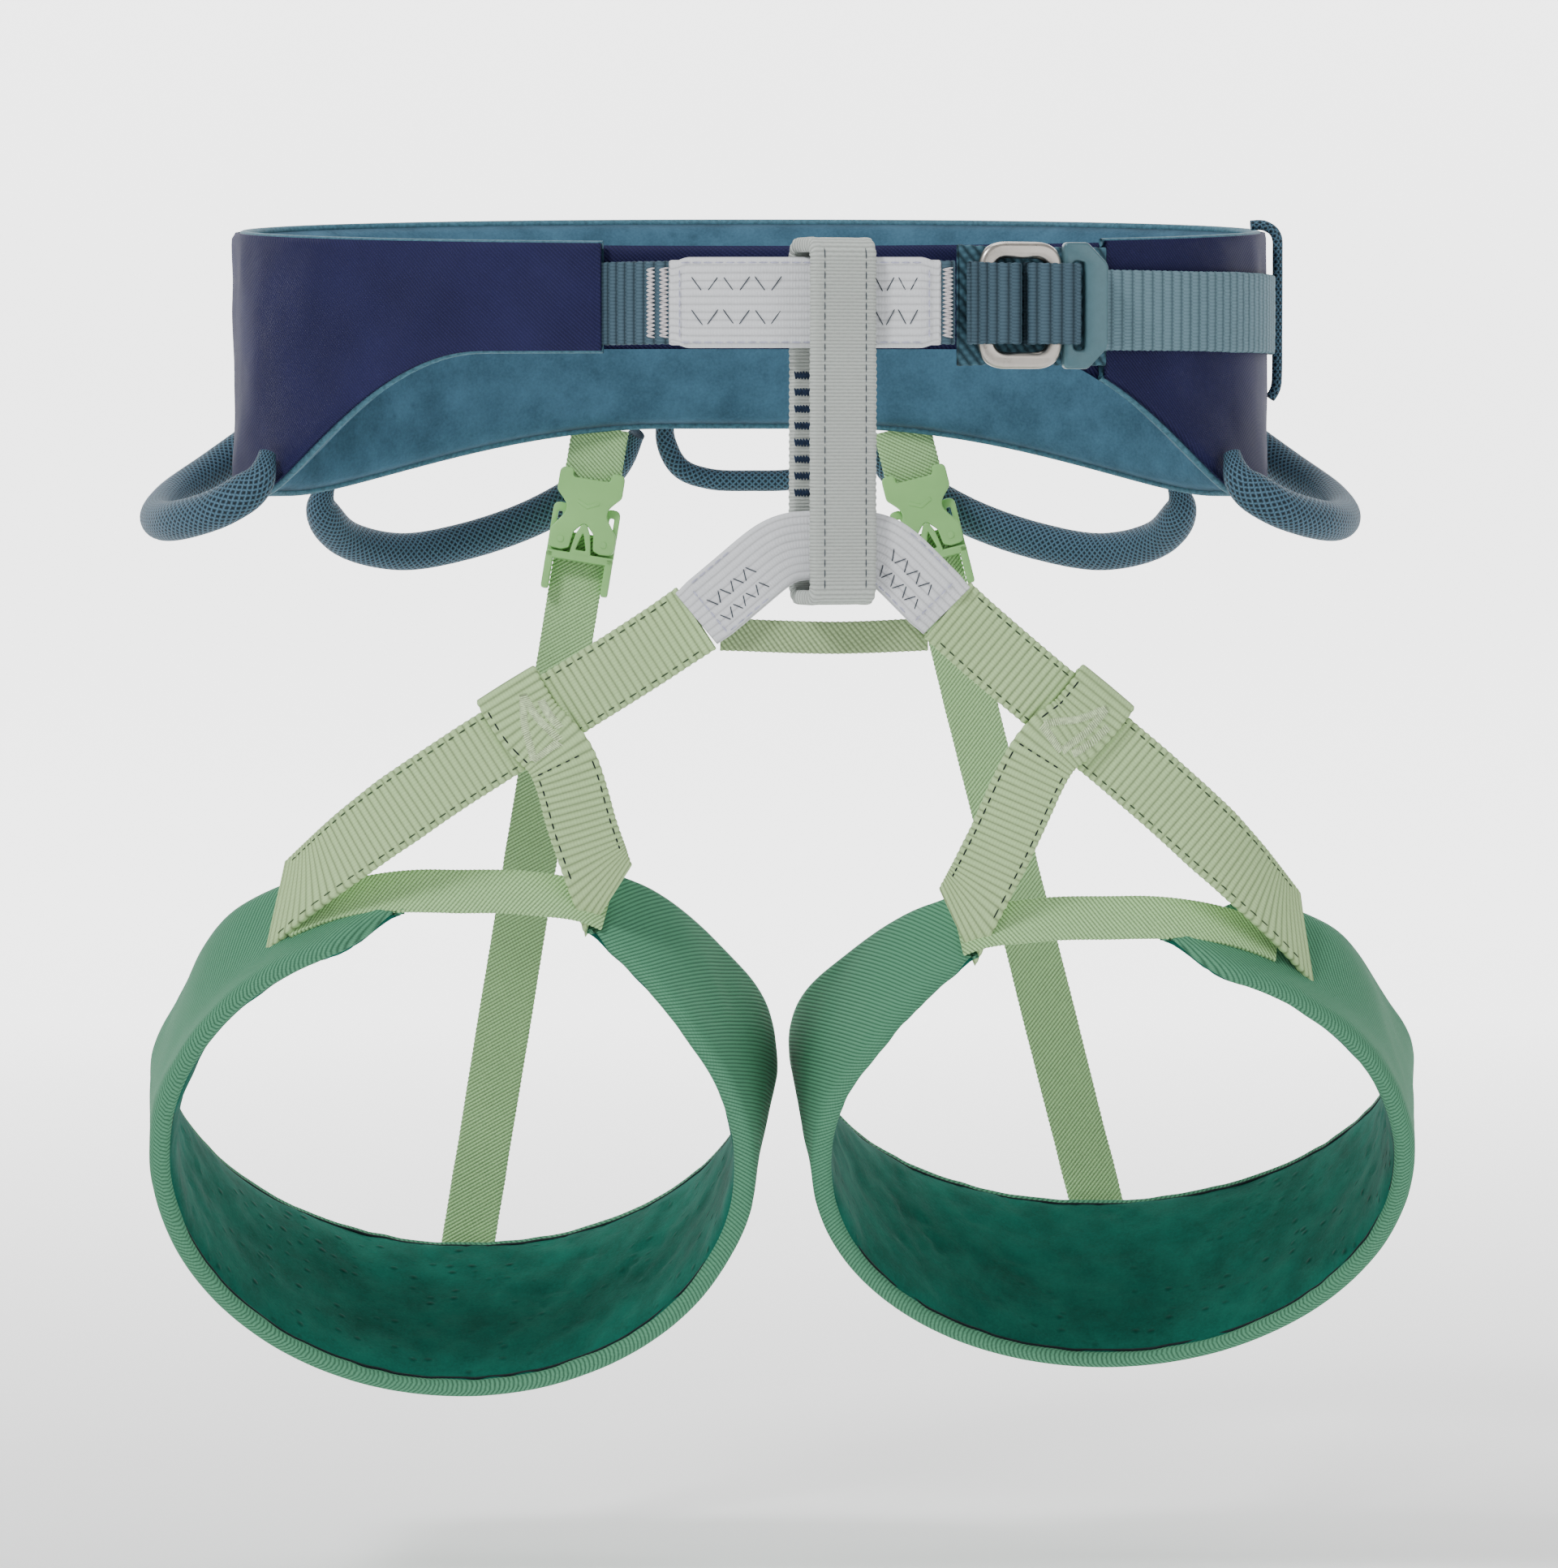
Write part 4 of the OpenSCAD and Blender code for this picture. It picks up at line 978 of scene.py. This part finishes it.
def plate(name, outer, holes, y0, y1, place, bevel, segments=3):
    """A flat plate with holes and rounded edges, drawn as (x, z) and placed by place."""
    data = bpy.data.curves.new(name, "CURVE")
    data.dimensions = "2D"
    data.fill_mode = "BOTH"
    for ring in [outer] + list(holes):
        spline = data.splines.new("POLY")
        spline.points.add(len(ring) - 1)
        for point, (x, z) in zip(spline.points, ring):
            point.co = (x, z, 0, 1)
        spline.use_cyclic_u = True
    data.extrude = (y1 - y0) / 2 - bevel
    data.bevel_depth = bevel
    data.bevel_resolution = segments
    data.offset = -bevel
    temp = new_object(name, data)
    bpy.context.view_layer.update()
    mesh = bpy.data.meshes.new_from_object(temp.evaluated_get(bpy.context.evaluated_depsgraph_get()))
    bpy.data.objects.remove(temp)
    co = np.array([v.co[:] for v in mesh.vertices])
    local = np.stack([co[:, 0], (y0 + y1) / 2 - co[:, 2], co[:, 1]], 1)
    mesh.vertices.foreach_set("co", (place(local) * MM).ravel())
    mesh.update()
    obj = new_object(name, mesh)
    weld = obj.modifiers.new("weld", "WELD")
    weld.merge_threshold = 0.00001
    bpy.context.view_layer.objects.active = obj
    bpy.ops.object.select_all(action="DESELECT")
    obj.select_set(True)
    bpy.ops.object.modifier_apply(modifier="weld")
    for poly in obj.data.polygons:
        poly.use_smooth = len(poly.vertices) < 5
    return obj


def box_ring(x0, x1, z0, z1):
    return [[x0, z0], [x1, z0], [x1, z1], [x0, z1]]


front, thick = -7.9, 3.2
sx0, sx1, h = 6 - 24.5, 6.0, FRAME_H / 2
steel = plate("steel_frame", outline(box_ring(sx0, sx1, -h, h), 8, 14),
              [outline(box_ring(sx0 + 4.6, sx1 - 4.6, -h + 4.6, h - 4.6), 3.6, 10)[::-1]],
              front, front + thick, at_buckle, 1.5, 5)
finish_piece(steel, STEEL, "waist_buckle", ["buckle_steel_frame"])
c0 = 6.3
c1 = c0 + 13
corners = [[c0, -h], [c1 - 6, -h], [c1, -h + 6], [c1, h - 6], [c1 - 6, h], [c0, h]]
coated = plate("coated_frame", outline(corners, [1.5, 2.5, 2.5, 2.5, 2.5, 1.5], 8),
               [outline(box_ring(c0 + 2.7, c0 + 6.1, -12.2, 12.2), 1.2, 6)[::-1]],
               front, front + thick, at_buckle, 0.8, 3)
finish_piece(coated, COATED, "waist_buckle", ["buckle_coated_frame"])

strand_y, strand_out = -(10.5 - 0.2), front - 0.3 - 0.9
first = curve([[-23, strand_y - 1.6, 0.5], [-16, strand_out, 0.5], [-9.5, strand_out, 0.5],
               [-7.2, strand_out + 1.6, 0.5], [-6.6, front + 2.5, 0.5], [-6.6, -3.2, 0.5]], 8)
second = curve([[-3.6, -3.2, 0.5], [-3.6, front + 2.5, 0.5], [-2.6, strand_out + 1, 0.5],
                [0, strand_out, 0.5], [6.5, strand_out, 0.5], [9.7, strand_out + 0.2, 0.5],
                [10.7, front + 1.6, 0.5], [10.7, -4.4, 0.5]], 8)
strands = [Strap(at_buckle(first), Z, 22.5, 1.7, 0.4).mesh("buckle_strand_a", rib=0.1, wave=columns),
           Strap(at_buckle(second), Z, 22.5, 1.35, 0.4).mesh("buckle_strand_b", rib=0.1, wave=columns)]
finish_piece(join("buckle_strands", strands), DARK_WEB, "waist_buckle", ["buckle_webbing"])

edge = belt_at(RIGHT_TURN, -0.8, 0) - np.array([BUCKLE_X, buckle_origin[1], 0])
edge = np.array([edge @ bx, edge @ by])
anchor = Strap(at_buckle(curve([[-23.5, -3.5, 0], [-14, -3.5, 0], [-8, -1.6, 0], [0, -0.4, 0], [10, 0.6, 0],
                                [edge[0] - 0.6, edge[1], 0]], 8)), Z, FRAME_H - 2, 1.8, 0.5)
strap_piece("anchor_tape_strap", anchor, ANCHOR, "waist", "anchor_tape", ["buckle_anchor_strap"],
            rib=0.35, pitch=3.0,
            wave=lambda s, v: 0.25 * np.abs(np.sin(np.pi * (v + 1.5 * np.floor(s / 3.0)) / 3.0)))

turns = np.linspace(37, 112, 120)
tail = Strap(belt_at(turns, 1.3, UPPER_Z - 1.5), Z, 22.5, 1.8, 0.6)
strap_piece("waist_tail_strap", tail, TAIL, "waist", "tail_webbing", ["waist_webbing_tail"],
            rib=0.06, pitch=2.0, wave=lambda s, v: 0.18 * np.abs(np.sin(np.pi * v / 3.7)))

# ---- tail keeper and gear loops
KEEPER, KEEPER_R = 93.0, 1.5
k_top, k_hang = float(belt_top(KEEPER)), 0.3 + 1.8 + 0.3 + KEEPER_R
keeper = curve([belt_at(KEEPER, o, z) for o, z in (
    (-4, k_top + 1.8), (0, k_top + 1.8), (k_hang - 0.4, k_top - 1), (k_hang, k_top - 8), (k_hang, 6),
    (k_hang, -4), (k_hang - 0.4, -9), (KEEPER_R + 0.3, -12))], 5)


def round_tube(name, path, radii, sides):
    """A round cord."""
    path, radii = np.asarray(path, float), np.asarray(radii, float)
    along = unit(np.gradient(path, axis=0))
    a = [unit(np.cross(along[0], [0.31, 0.22, 0.93]))]
    for k in range(1, len(path)):
        a.append(unit(a[-1] - (a[-1] @ along[k]) * along[k]))
    b = np.cross(along, a)
    ring = np.linspace(0, 2 * np.pi, sides, endpoint=False)[:, None]
    section = np.cos(ring) * np.array(a)[:, None] + np.sin(ring) * b[:, None]
    p = path[:, None] + radii[:, None, None] * section
    return tube(name, p, stack(along_path(path)[:, None], ring[:, 0] * radii.max()),
                around=2 * np.pi * radii.max())


path, radii, _ = resample(keeper, np.full((len(keeper), 1), KEEPER_R), 0.35)
path = soften(path, 6)
obj = round_tube("tail_keeper", path, radii[:, 0], 16)
float(along_path(path)[-1]) * MM
[tuple(p) for p in path * MM]
finish_piece(obj, BRAID, "waist", ["tail_keeper_cord"])

ROOT, REAR_ROOT = 3.2, 2.3
ROUTES = {
    "front": ([[62, ROOT, 12], [61, 7.5, 4], [65, 14, -3], [75, 19, -7], [87, 21.5, -6.5], [99, 21.5, -1],
               [109, 18, 7], [116, 13, 16], [119, 7.5, 23], [120, ROOT, 27]], GEAR_D / 2),
    "rear": ([[125, REAR_ROOT, 3], [127, 8.5, -5], [134, 15.5, -14], [143, 19.5, -18], [151, 20, -15],
              [158, 18, -8.5], [163.5, 14, 0.5], [167, 8.5, 10], [168.6, REAR_ROOT, 18]], GEAR_D / 2),
    "centre": ([[171.8, ROOT, 26], [171.9, 6.5, 16], [173.5, 9, 7.5], [176.5, 10, 4], [180, 10, 3.5],
                [183.5, 10, 4], [186.5, 9, 7.5], [188.1, 6.5, 16], [188.2, ROOT, 26]], REAR_GEAR_D / 2)}


def gear_loop(which, mirror):
    route, r = ROUTES[which]
    fine = curve([belt_at(a, o, LOW_SIDE + z) * [-1 if mirror else 1, 1, 1] for a, o, z in route], 12)
    n = len(fine)
    k = np.minimum(np.arange(n), n - 1 - np.arange(n)) / 6.0
    radii = mix(min(r, 2.6), r, smooth(0, 3, k)) - 0.1
    fine, radii, _ = resample(fine, radii[:, None], 0.45)
    place = which if which == "centre" else which + ("_left" if mirror else "_right")
    obj = round_tube("gear_sheath_" + place, fine, radii[:, 0], 32 if r > 4 else 20)
    finish_piece(obj, BRAID, "gear_" + place, ["gear_loop_" + place])


for which in ("front", "rear"):
    for mirror in (False, True):
        gear_loop(which, mirror)
gear_loop("centre", False)

# ---- leg loops
A0, A1 = 8.0, 332.0


def leg_ends(around, at_start, at_end):
    """From nothing at both ends of the loop's cover up to one."""
    return np.minimum(smooth(0, at_start, around - A0), smooth(0, at_end, A1 - around))


def leg_pad(side, tag):
    """The padding and its lining as one crowned, closed pad."""
    around = np.linspace(A0 + 0.8, A1 - 0.8, 300)[:, None]
    f, inner, edge = pad_section(34, 10)
    ends = leg_ends(around, 12, 8) * 0.8 + 0.2
    out = np.where(inner, mix(-3.6, -7.7, edge * ends), -2.2 - 0.4 * edge)
    back = mix(pad_low(around) + 1.0, pad_high(around) - 1.0, f)
    p = pad_at(side, around, back, out)
    uv = stack(around * LEG_ARC, back)
    obj = tube("leg_padding_" + tag, p, uv, flip=side < 0)
    puff(obj, (inner * edge * np.ones_like(around)).ravel())
    toward = unit(pad_at(side, around, back, out - 1) - p)
    at = stack(uv[..., 0], back, 0.0)
    folds = noise(at * [1, 0.35, 1], 17, 8 + leg_index(side))
    grain = 0.75 * folds + 0.45 * noise(at, 7, 9)
    pits = np.clip(noise(at, 3.2, 21) - 0.35, 0, 1) * smooth(-0.1, 0.3, noise(at, 30, 5))
    relief = toward * ((grain - 1.3 * pits) * inner * edge)[..., None] * MM
    set_points(obj, points_of(obj).reshape(p.shape) + relief)
    finish_piece(obj, LEG_LINING, "leg_" + tag, ["leg_foam_" + tag, "leg_lining_" + tag])


def step_to(a, b, most):
    """How far a moves towards b, by at most that much."""
    return np.sign(b - a) * np.minimum(np.abs(b - a), most)


def leg_cover(side, tag):
    """The shell, whose edges roll over the pad as a binding."""
    around = np.linspace(A0, A1, 340)[:, None]
    low, high = pad_low(around), pad_high(around)
    ends = 0.3 + 0.7 * leg_ends(around, 9, 7)
    waver = 0.35 * noise(stack(around * LEG_ARC, 0, 0), 5, 3 + side)
    roll = [(3.4, -5.5), (1.9, -5.9), (0.7, -5.0), (0.0, -3.2), (0.3, -1.3), (1.4, -0.3), (3.2, 0.0)]
    between = np.linspace(0, 1, 30)[1:-1]
    back = np.concatenate([low + b + waver * (o < -4) for b, o in roll]
                          + [mix(low + 3.2, high - 3.2, between)]
                          + [high - b + waver * (o < -4) for b, o in roll[::-1]], 1)
    rim = [o * ends for b, o in roll]
    out = np.concatenate(rim + [0 * low] * len(between) + rim[::-1], 1)
    flat = leg_at(side, around, back, 0)
    crease = 0.6 * noise(flat * [1, 0.6, 1], 19, 12 + side) + 0.25 * noise(flat, 8, 15 + side)
    crease = crease * smooth(0, 5, np.minimum(back - low, high - back))
    shut = 1.6 * (1 - leg_ends(around, 5, 4))
    outer = pad_at(side, around, back, out + crease - 0.1 - shut * (out > -0.5))
    inner_out = np.where(out > -0.5, out - 1.1 - shut, out + step_to(out, -3.0, 0.7))
    inner = pad_at(side, around, back + step_to(back, (low + high) / 2, 0.8) * (out < -0.5), inner_out)
    uv = stack(around * 1.55, back + 0.8 * np.minimum(out, 0))
    obj = tube("leg_cover_" + tag, np.concatenate([outer, inner[:, ::-1]], 1),
               np.concatenate([uv, uv[:, ::-1]], 1), flip=side < 0)
    finish_piece(obj, SHELL, "leg_" + tag, ["leg_shell_" + tag])
    a = np.linspace(A0 + 3, A1 - 3, 420)
    wave = 0.35 * noise(stack(a * LEG_ARC, 0, 0), 5, 3 + side)
    for edge, base in (("low", pad_low(a) + 3.5), ("high", pad_high(a) - 3.5)):
        line = pad_at(side, a, base + wave, -5.6 * (0.3 + 0.7 * leg_ends(a, 9, 7)))
        seam = round_tube("leg_seam_%s_%s" % (edge, tag), line, np.full(len(a), 0.45), 8)
        finish_piece(seam, SEAM, "leg_" + tag)


def arm_start(side):
    x = LOWER_L if side < 0 else LOWER_R
    return np.array([x + side * 0.3, FRONT_Y, saddle_z(x)])


def arm_end(side):
    return leg_at(side, (32, 36)[leg_index(side)], 22, 1.2 + 5.8)


def arm_at(side, t):
    t = np.asarray(t, float)[..., None]
    return mix(arm_start(side), arm_end(side), t) + 6.75 * t * t * (1 - t) * np.array([0, -9, 4])


def arm_wide(side, t):
    t = np.asarray(t, float)[..., None]
    square = unit([side * 0.5, 0, 0.85])
    first = mix(Z, square, np.clip(t / 0.2, 0, 1))
    return np.where(t < 0.2, first, mix(square, unit([side * 0.1, 0.45, 0.9]), smooth(0.6, 1, t)))


CROSS = (0.39, 0.36)


def leg_straps(side, tag):
    """A leg loop's arm, its folded branch and its elastic, with their stitching."""
    leg, t = "leg_" + tag, np.linspace(0, 1, 90)
    arm = Strap(arm_at(side, t), arm_wide(side, t), 20, 1.8, 0.4, cut=(0.0, -0.85))
    strap_piece("leg_arm_strap_" + tag, arm, LEG_WEB, leg, "leg_webbing", ["leg_arm_" + tag], rib=0.3)
    threads("leg_arm_stitching_" + tag, both_edges(front_surface(arm), 4, arm.length - 3, 8.2), GREEN_THREAD,
            leg, 0.22)
    c = CROSS[leg_index(side)]
    along = unit(arm_at(side, c + 0.05) - arm_at(side, c - 0.05))
    up = arm_wide(side, c)
    up = unit(up - (up @ along) * along)
    front = -side * np.cross(up, along)
    middle = arm_at(side, c)
    crossing = middle + 2.3 * front
    tip = leg_at(side, -29, 17, 1.2 + 5.6)
    tip_across = unit([0.9, 0, side * -0.35])
    below = [crossing - 12.5 * up - side * 2.5 * X, mix(crossing, tip, 0.6) + [side * -2, -3, 0], tip]
    fold = [middle - 2.0 * front + 2 * up, middle - 2.0 * front + 9.5 * up, middle - 0.6 * front + 12.3 * up,
            middle + 1.6 * front + 12.1 * up, middle + 2.4 * front + 9 * up]
    path = curve(fold + [crossing] + below, 12)
    w = smooth(6 * 12, 8.6 * 12, np.arange(len(path)))[:, None]
    branch = Strap(path, mix(side * along, tip_across, w), 19, 1.5, 0.4, cut=(0, side * 0.9), cut_length=20)
    strap_piece("leg_branch_strap_" + tag, branch, LEG_WEB, leg, "leg_webbing", ["leg_branch_" + tag], rib=0.28)
    face = front_surface(branch)
    top = float(branch.s[np.argmin(np.linalg.norm(branch.path - (middle + 2.4 * front + 9 * up), axis=1))])
    bottom = top + 18
    threads("leg_branch_stitching_" + tag, both_edges(face, bottom + 7, branch.length - 9, 7.8)
            + stitch_line(face, bottom + 5, bottom + 5, -7.8, 7.8, 2.0, 0.8)
            + stitch_line(face, top, bottom, -7.8, -7.8), DARK_THREAD, leg, 0.22)
    tack, r = [], np.linspace(-1, 1, 5)
    for s0, v0, s1, v1 in ((top + 1, 3, bottom - 1, -6), (bottom - 1, -6, bottom, 3), (top + 1, 3, bottom, 3),
                           (top + 5, 6.5, bottom - 2, 5.5)):
        steps = max(3, int(math.hypot(s1 - s0, v1 - v0) / 0.55))
        across_s, across_v = (0.3, 1.3) if abs(s1 - s0) > abs(v1 - v0) else (1.3, 0.3)
        for part in np.arange(steps) / steps:
            tack.append(stitch(face, mix(s0, s1, part) + across_s * r, mix(v0, v1, part) + across_v * r,
                               np.array([0, 0.45, 0.5, 0.45, 0])))
    threads("leg_branch_bartack_" + tag, tack, TACK_THREAD, leg, 0.26)
    around = np.linspace(-30, 31, 70)
    lean = pad_at(side, around, 24, 0) - pad_at(side, around, 12, 0)
    on_pad = np.maximum(smooth(-8, 27, around), 0.8 * smooth(-16, -28, around))[:, None]
    wide = mix(np.array([0, 0.25, 1.0]), unit(lean), on_pad)
    path = leg_at(side, around, 18, 1.0 + 2.0 * smooth(-4, 22, around) + 1.6 * smooth(-16, -28, around))
    path = path + Y * -1.5 * (1 - on_pad)
    elastic = Strap(path, wide, 12.5, 1.2, 0.5)
    strap_piece("leg_elastic_strap_" + tag, elastic, ELASTIC, leg, "elastic", ["leg_elastic_" + tag],
                rib=0.06, pitch=1.25)


# ---- rear risers
RISER_TURN = 163.6
CLIP_W, CLIP_T, RISER_W = 20.5, 2.6, 16.0
BAR_Z, TOP_LEN = 22.8, 12.0


def riser(side, tag):
    """One rear riser: its top strap, the clip's two halves and the elastic down to the leg loop."""
    top = belt_at(side * RISER_TURN, -1.6 - 1.4, float(belt_low(RISER_TURN)) - 3.1)
    foot = leg_at(side, 179, PAD_BACK + 1, 0.9)
    up = unit(top - foot)
    lean = math.atan2(up[0], up[2])
    right = np.array([math.cos(lean), 0, -math.sin(lean)])
    deep = np.cross(up, right)
    zero = top - (BAR_Z + TOP_LEN) * up

    def at_clip(p):
        p = np.asarray(p, float)
        return zero + p[..., :1] * right + p[..., 1:2] * deep + p[..., 2:] * up

    line = np.linspace([0, 1.45, BAR_Z - 3], [0, 1.45, BAR_Z + TOP_LEN + 4], 20)
    strap = Strap(at_clip(line), right, RISER_W + 1.4, 2.4, 0.4)
    strap_piece("riser_top_strap_" + tag, strap, ELASTIC, "waist", "elastic", ["riser_top_" + tag],
                rib=0.08, pitch=1.5)
    foot_x, horn_x = CLIP_W / 2 - 3.5, CLIP_W / 2 - 2.4
    half = [[0, 9.4], [3.0, 6.2], [foot_x - 3.1, 1.2], [foot_x - 1.0, 0.3], [foot_x + 3.4, 0.6],
            [foot_x + 3.3, 6.4], [5.2, 13.2], [horn_x + 2.1, 18.2], [horn_x + 2.1, 25.3],
            [horn_x - 2.1, 25.3], [horn_x - 2.2, 22.6]]
    rounds = [1.5, 2, 1.2, 2.5, 2.5, 3, 4, 2, 2, 2, 1]
    ring = half + [[-x, z] for x, z in half[:0:-1]]
    rounds += rounds[:0:-1]
    name, front, rear = "clip_upper_body_" + tag, -CLIP_T - 0.15, CLIP_T - 0.25
    piece = plate(name, outline(ring, rounds, 6), [], front, -0.15, at_clip, 0.5, 3)
    dots = [plate("dot", outline(box_ring(x - 1.0, x + 1.0, 2.4, 4.4), 1.0, 6), [],
                  -CLIP_T - 0.4, -CLIP_T, at_clip, 0.12, 1) for x in (-foot_x + 0.2, foot_x - 0.2)]
    chevron = [[-3.6, 15.2], [0, 13.4], [3.6, 15.2], [3.2, 16.2], [0, 14.6], [-3.2, 16.2]]
    ridge = plate("ridge", outline(chevron, 0.3, 3), [], -CLIP_T - 0.35, -CLIP_T, at_clip, 0.1, 1)
    finish_piece(join(name, [piece, ridge] + dots), CLIP, "waist", ["clip_upper_" + tag])
    hw, rail, rail_len = CLIP_W / 2, 2.3, 12.0
    tongue = plate("tongue", outline([[-3.3, -1], [3.3, -1], [2.9, 2], [2.2, 5.8], [0.8, 8.7], [-0.8, 8.7],
                                      [-2.2, 5.8], [-2.9, 2]], [0.3, 0.3, 2, 2, 0.7, 0.7, 2, 2], 5),
                   [outline([[-1.6, 0.8], [0, 6.4], [1.6, 0.8]], 0.3, 4)], front, -0.15, at_clip, 0.4)
    parts = [tongue]
    for s in (-1, 1):
        x0, x1 = sorted((s * (hw - 4.6), s * hw))
        slot_x = s * (hw - 2.4)
        parts.append(plate("ear", outline(box_ring(x0, x1, -1, 14.6), [0.5, 0.5, 2.1, 2.1], 6),
                           [outline(box_ring(slot_x - 0.7, slot_x + 0.7, 7, 12), 0.6, 4)[::-1]],
                           0.15, rear, at_clip, 0.4))
        r0, r1 = sorted((s * (hw - rail), s * hw))
        parts.append(plate("rail", outline(box_ring(r0, r1, -rail_len, -0.3), 0.9, 6), [],
                           front, rear, at_clip, 0.5))
    parts.append(plate("bar", outline(box_ring(-hw, hw, -2.6, -0.2), 0.8, 6), [],
                       front, rear, at_clip, 0.5))
    finish_piece(join("clip_lower_frame_" + tag, parts), CLIP, "clip_lower_body_" + tag,
                 ["clip_lower_" + tag])
    behind = np.array([0, CLIP_T + 0.7, 0])
    start = top - (BAR_Z + TOP_LEN - 6) * up + behind
    straight = start - 36 * up
    end = foot + [0, 1.6, 0]
    lap = leg_at(side, 179, PAD_BACK - 12, 0.9)
    path = curve([start, straight, mix(straight, end, 0.4), mix(straight, end, 0.8), end, lap], 14)
    strap = Strap(path, X, RISER_W, 1.25, 0.5)
    obj = strap.mesh("riser_elastic_" + tag, rib=0.08, pitch=1.5)
    finish_piece(obj, ELASTIC, None, ["riser_strap_" + tag],
                 blend=("waist", "leg_" + tag, tuple(straight * MM), tuple(end * MM)))


for side, tag in ((-1, "left"), (1, "right")):
    leg_pad(side, tag)
    leg_cover(side, tag)
    leg_straps(side, tag)
    riser(side, tag)

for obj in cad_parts.values():
    if not obj.hide_render:
        for entry in obj.material_slots:
            entry.material = CORE

# ---- floor and light
world = bpy.data.worlds.new("studio")
bpy.context.scene.world = world
world.use_nodes = True
sky = world.node_tree.nodes["Background"]
sky.inputs["Color"].default_value = (1, 1, 1, 1)
sky.inputs["Strength"].default_value = 0.45


def light(name, at, size, power_w):
    data = bpy.data.lights.new(name, "AREA")
    data.size = size
    data.energy = power_w
    aim(new_object(name, data), at, (0, 0, -0.1))


light("key", (-1.1, -1.4, 1.7), 0.5, 40)
light("fill", (1.7, -1.6, 0.5), 1.2, 8)
light("top", (0.1, 0.3, 1.9), 1.0, 12)

# One sheet is the floor in front and the glowing backdrop behind
sweep = [(-6, 0), (2.7, 0), (3.3, 0.04), (3.7, 0.16), (4.0, 0.4), (4.15, 0.8), (4.2, 4.0)]
FLOOR_Z, SHEET_HALF = -0.36, 5
sheet = np.array([[[x, y, z + FLOOR_Z] for x in (-SHEET_HALF, SHEET_HALF)] for y, z in sweep]) / MM
floor = mesh_object("floor", sheet.reshape(-1, 3), grid_faces(len(sweep), 2))
m = Shader("pale_floor", "#f0f0f0", rough=0.9, Specular_IOR_Level=0.1)
depth = m.node("SeparateXYZ")
m.tree.links.new(m.place(), depth.inputs[0])
# The glow is painted light: faint on the floor in front, rising to bright on the backdrop behind.
glow = m.ramp(m.madd(depth.outputs[1], 0.4, 0.2), (0.2, grey(0.25)), (0.95, grey(2.6)))
m.link(glow, m.bsdf.inputs["Emission Color"])
m.bsdf.inputs["Emission Strength"].default_value = 1.0
floor.data.materials.append(m.finish(m.ramp(m.noise(3), (0.4, grey(0.86)), (0.6, grey(0.88)))))
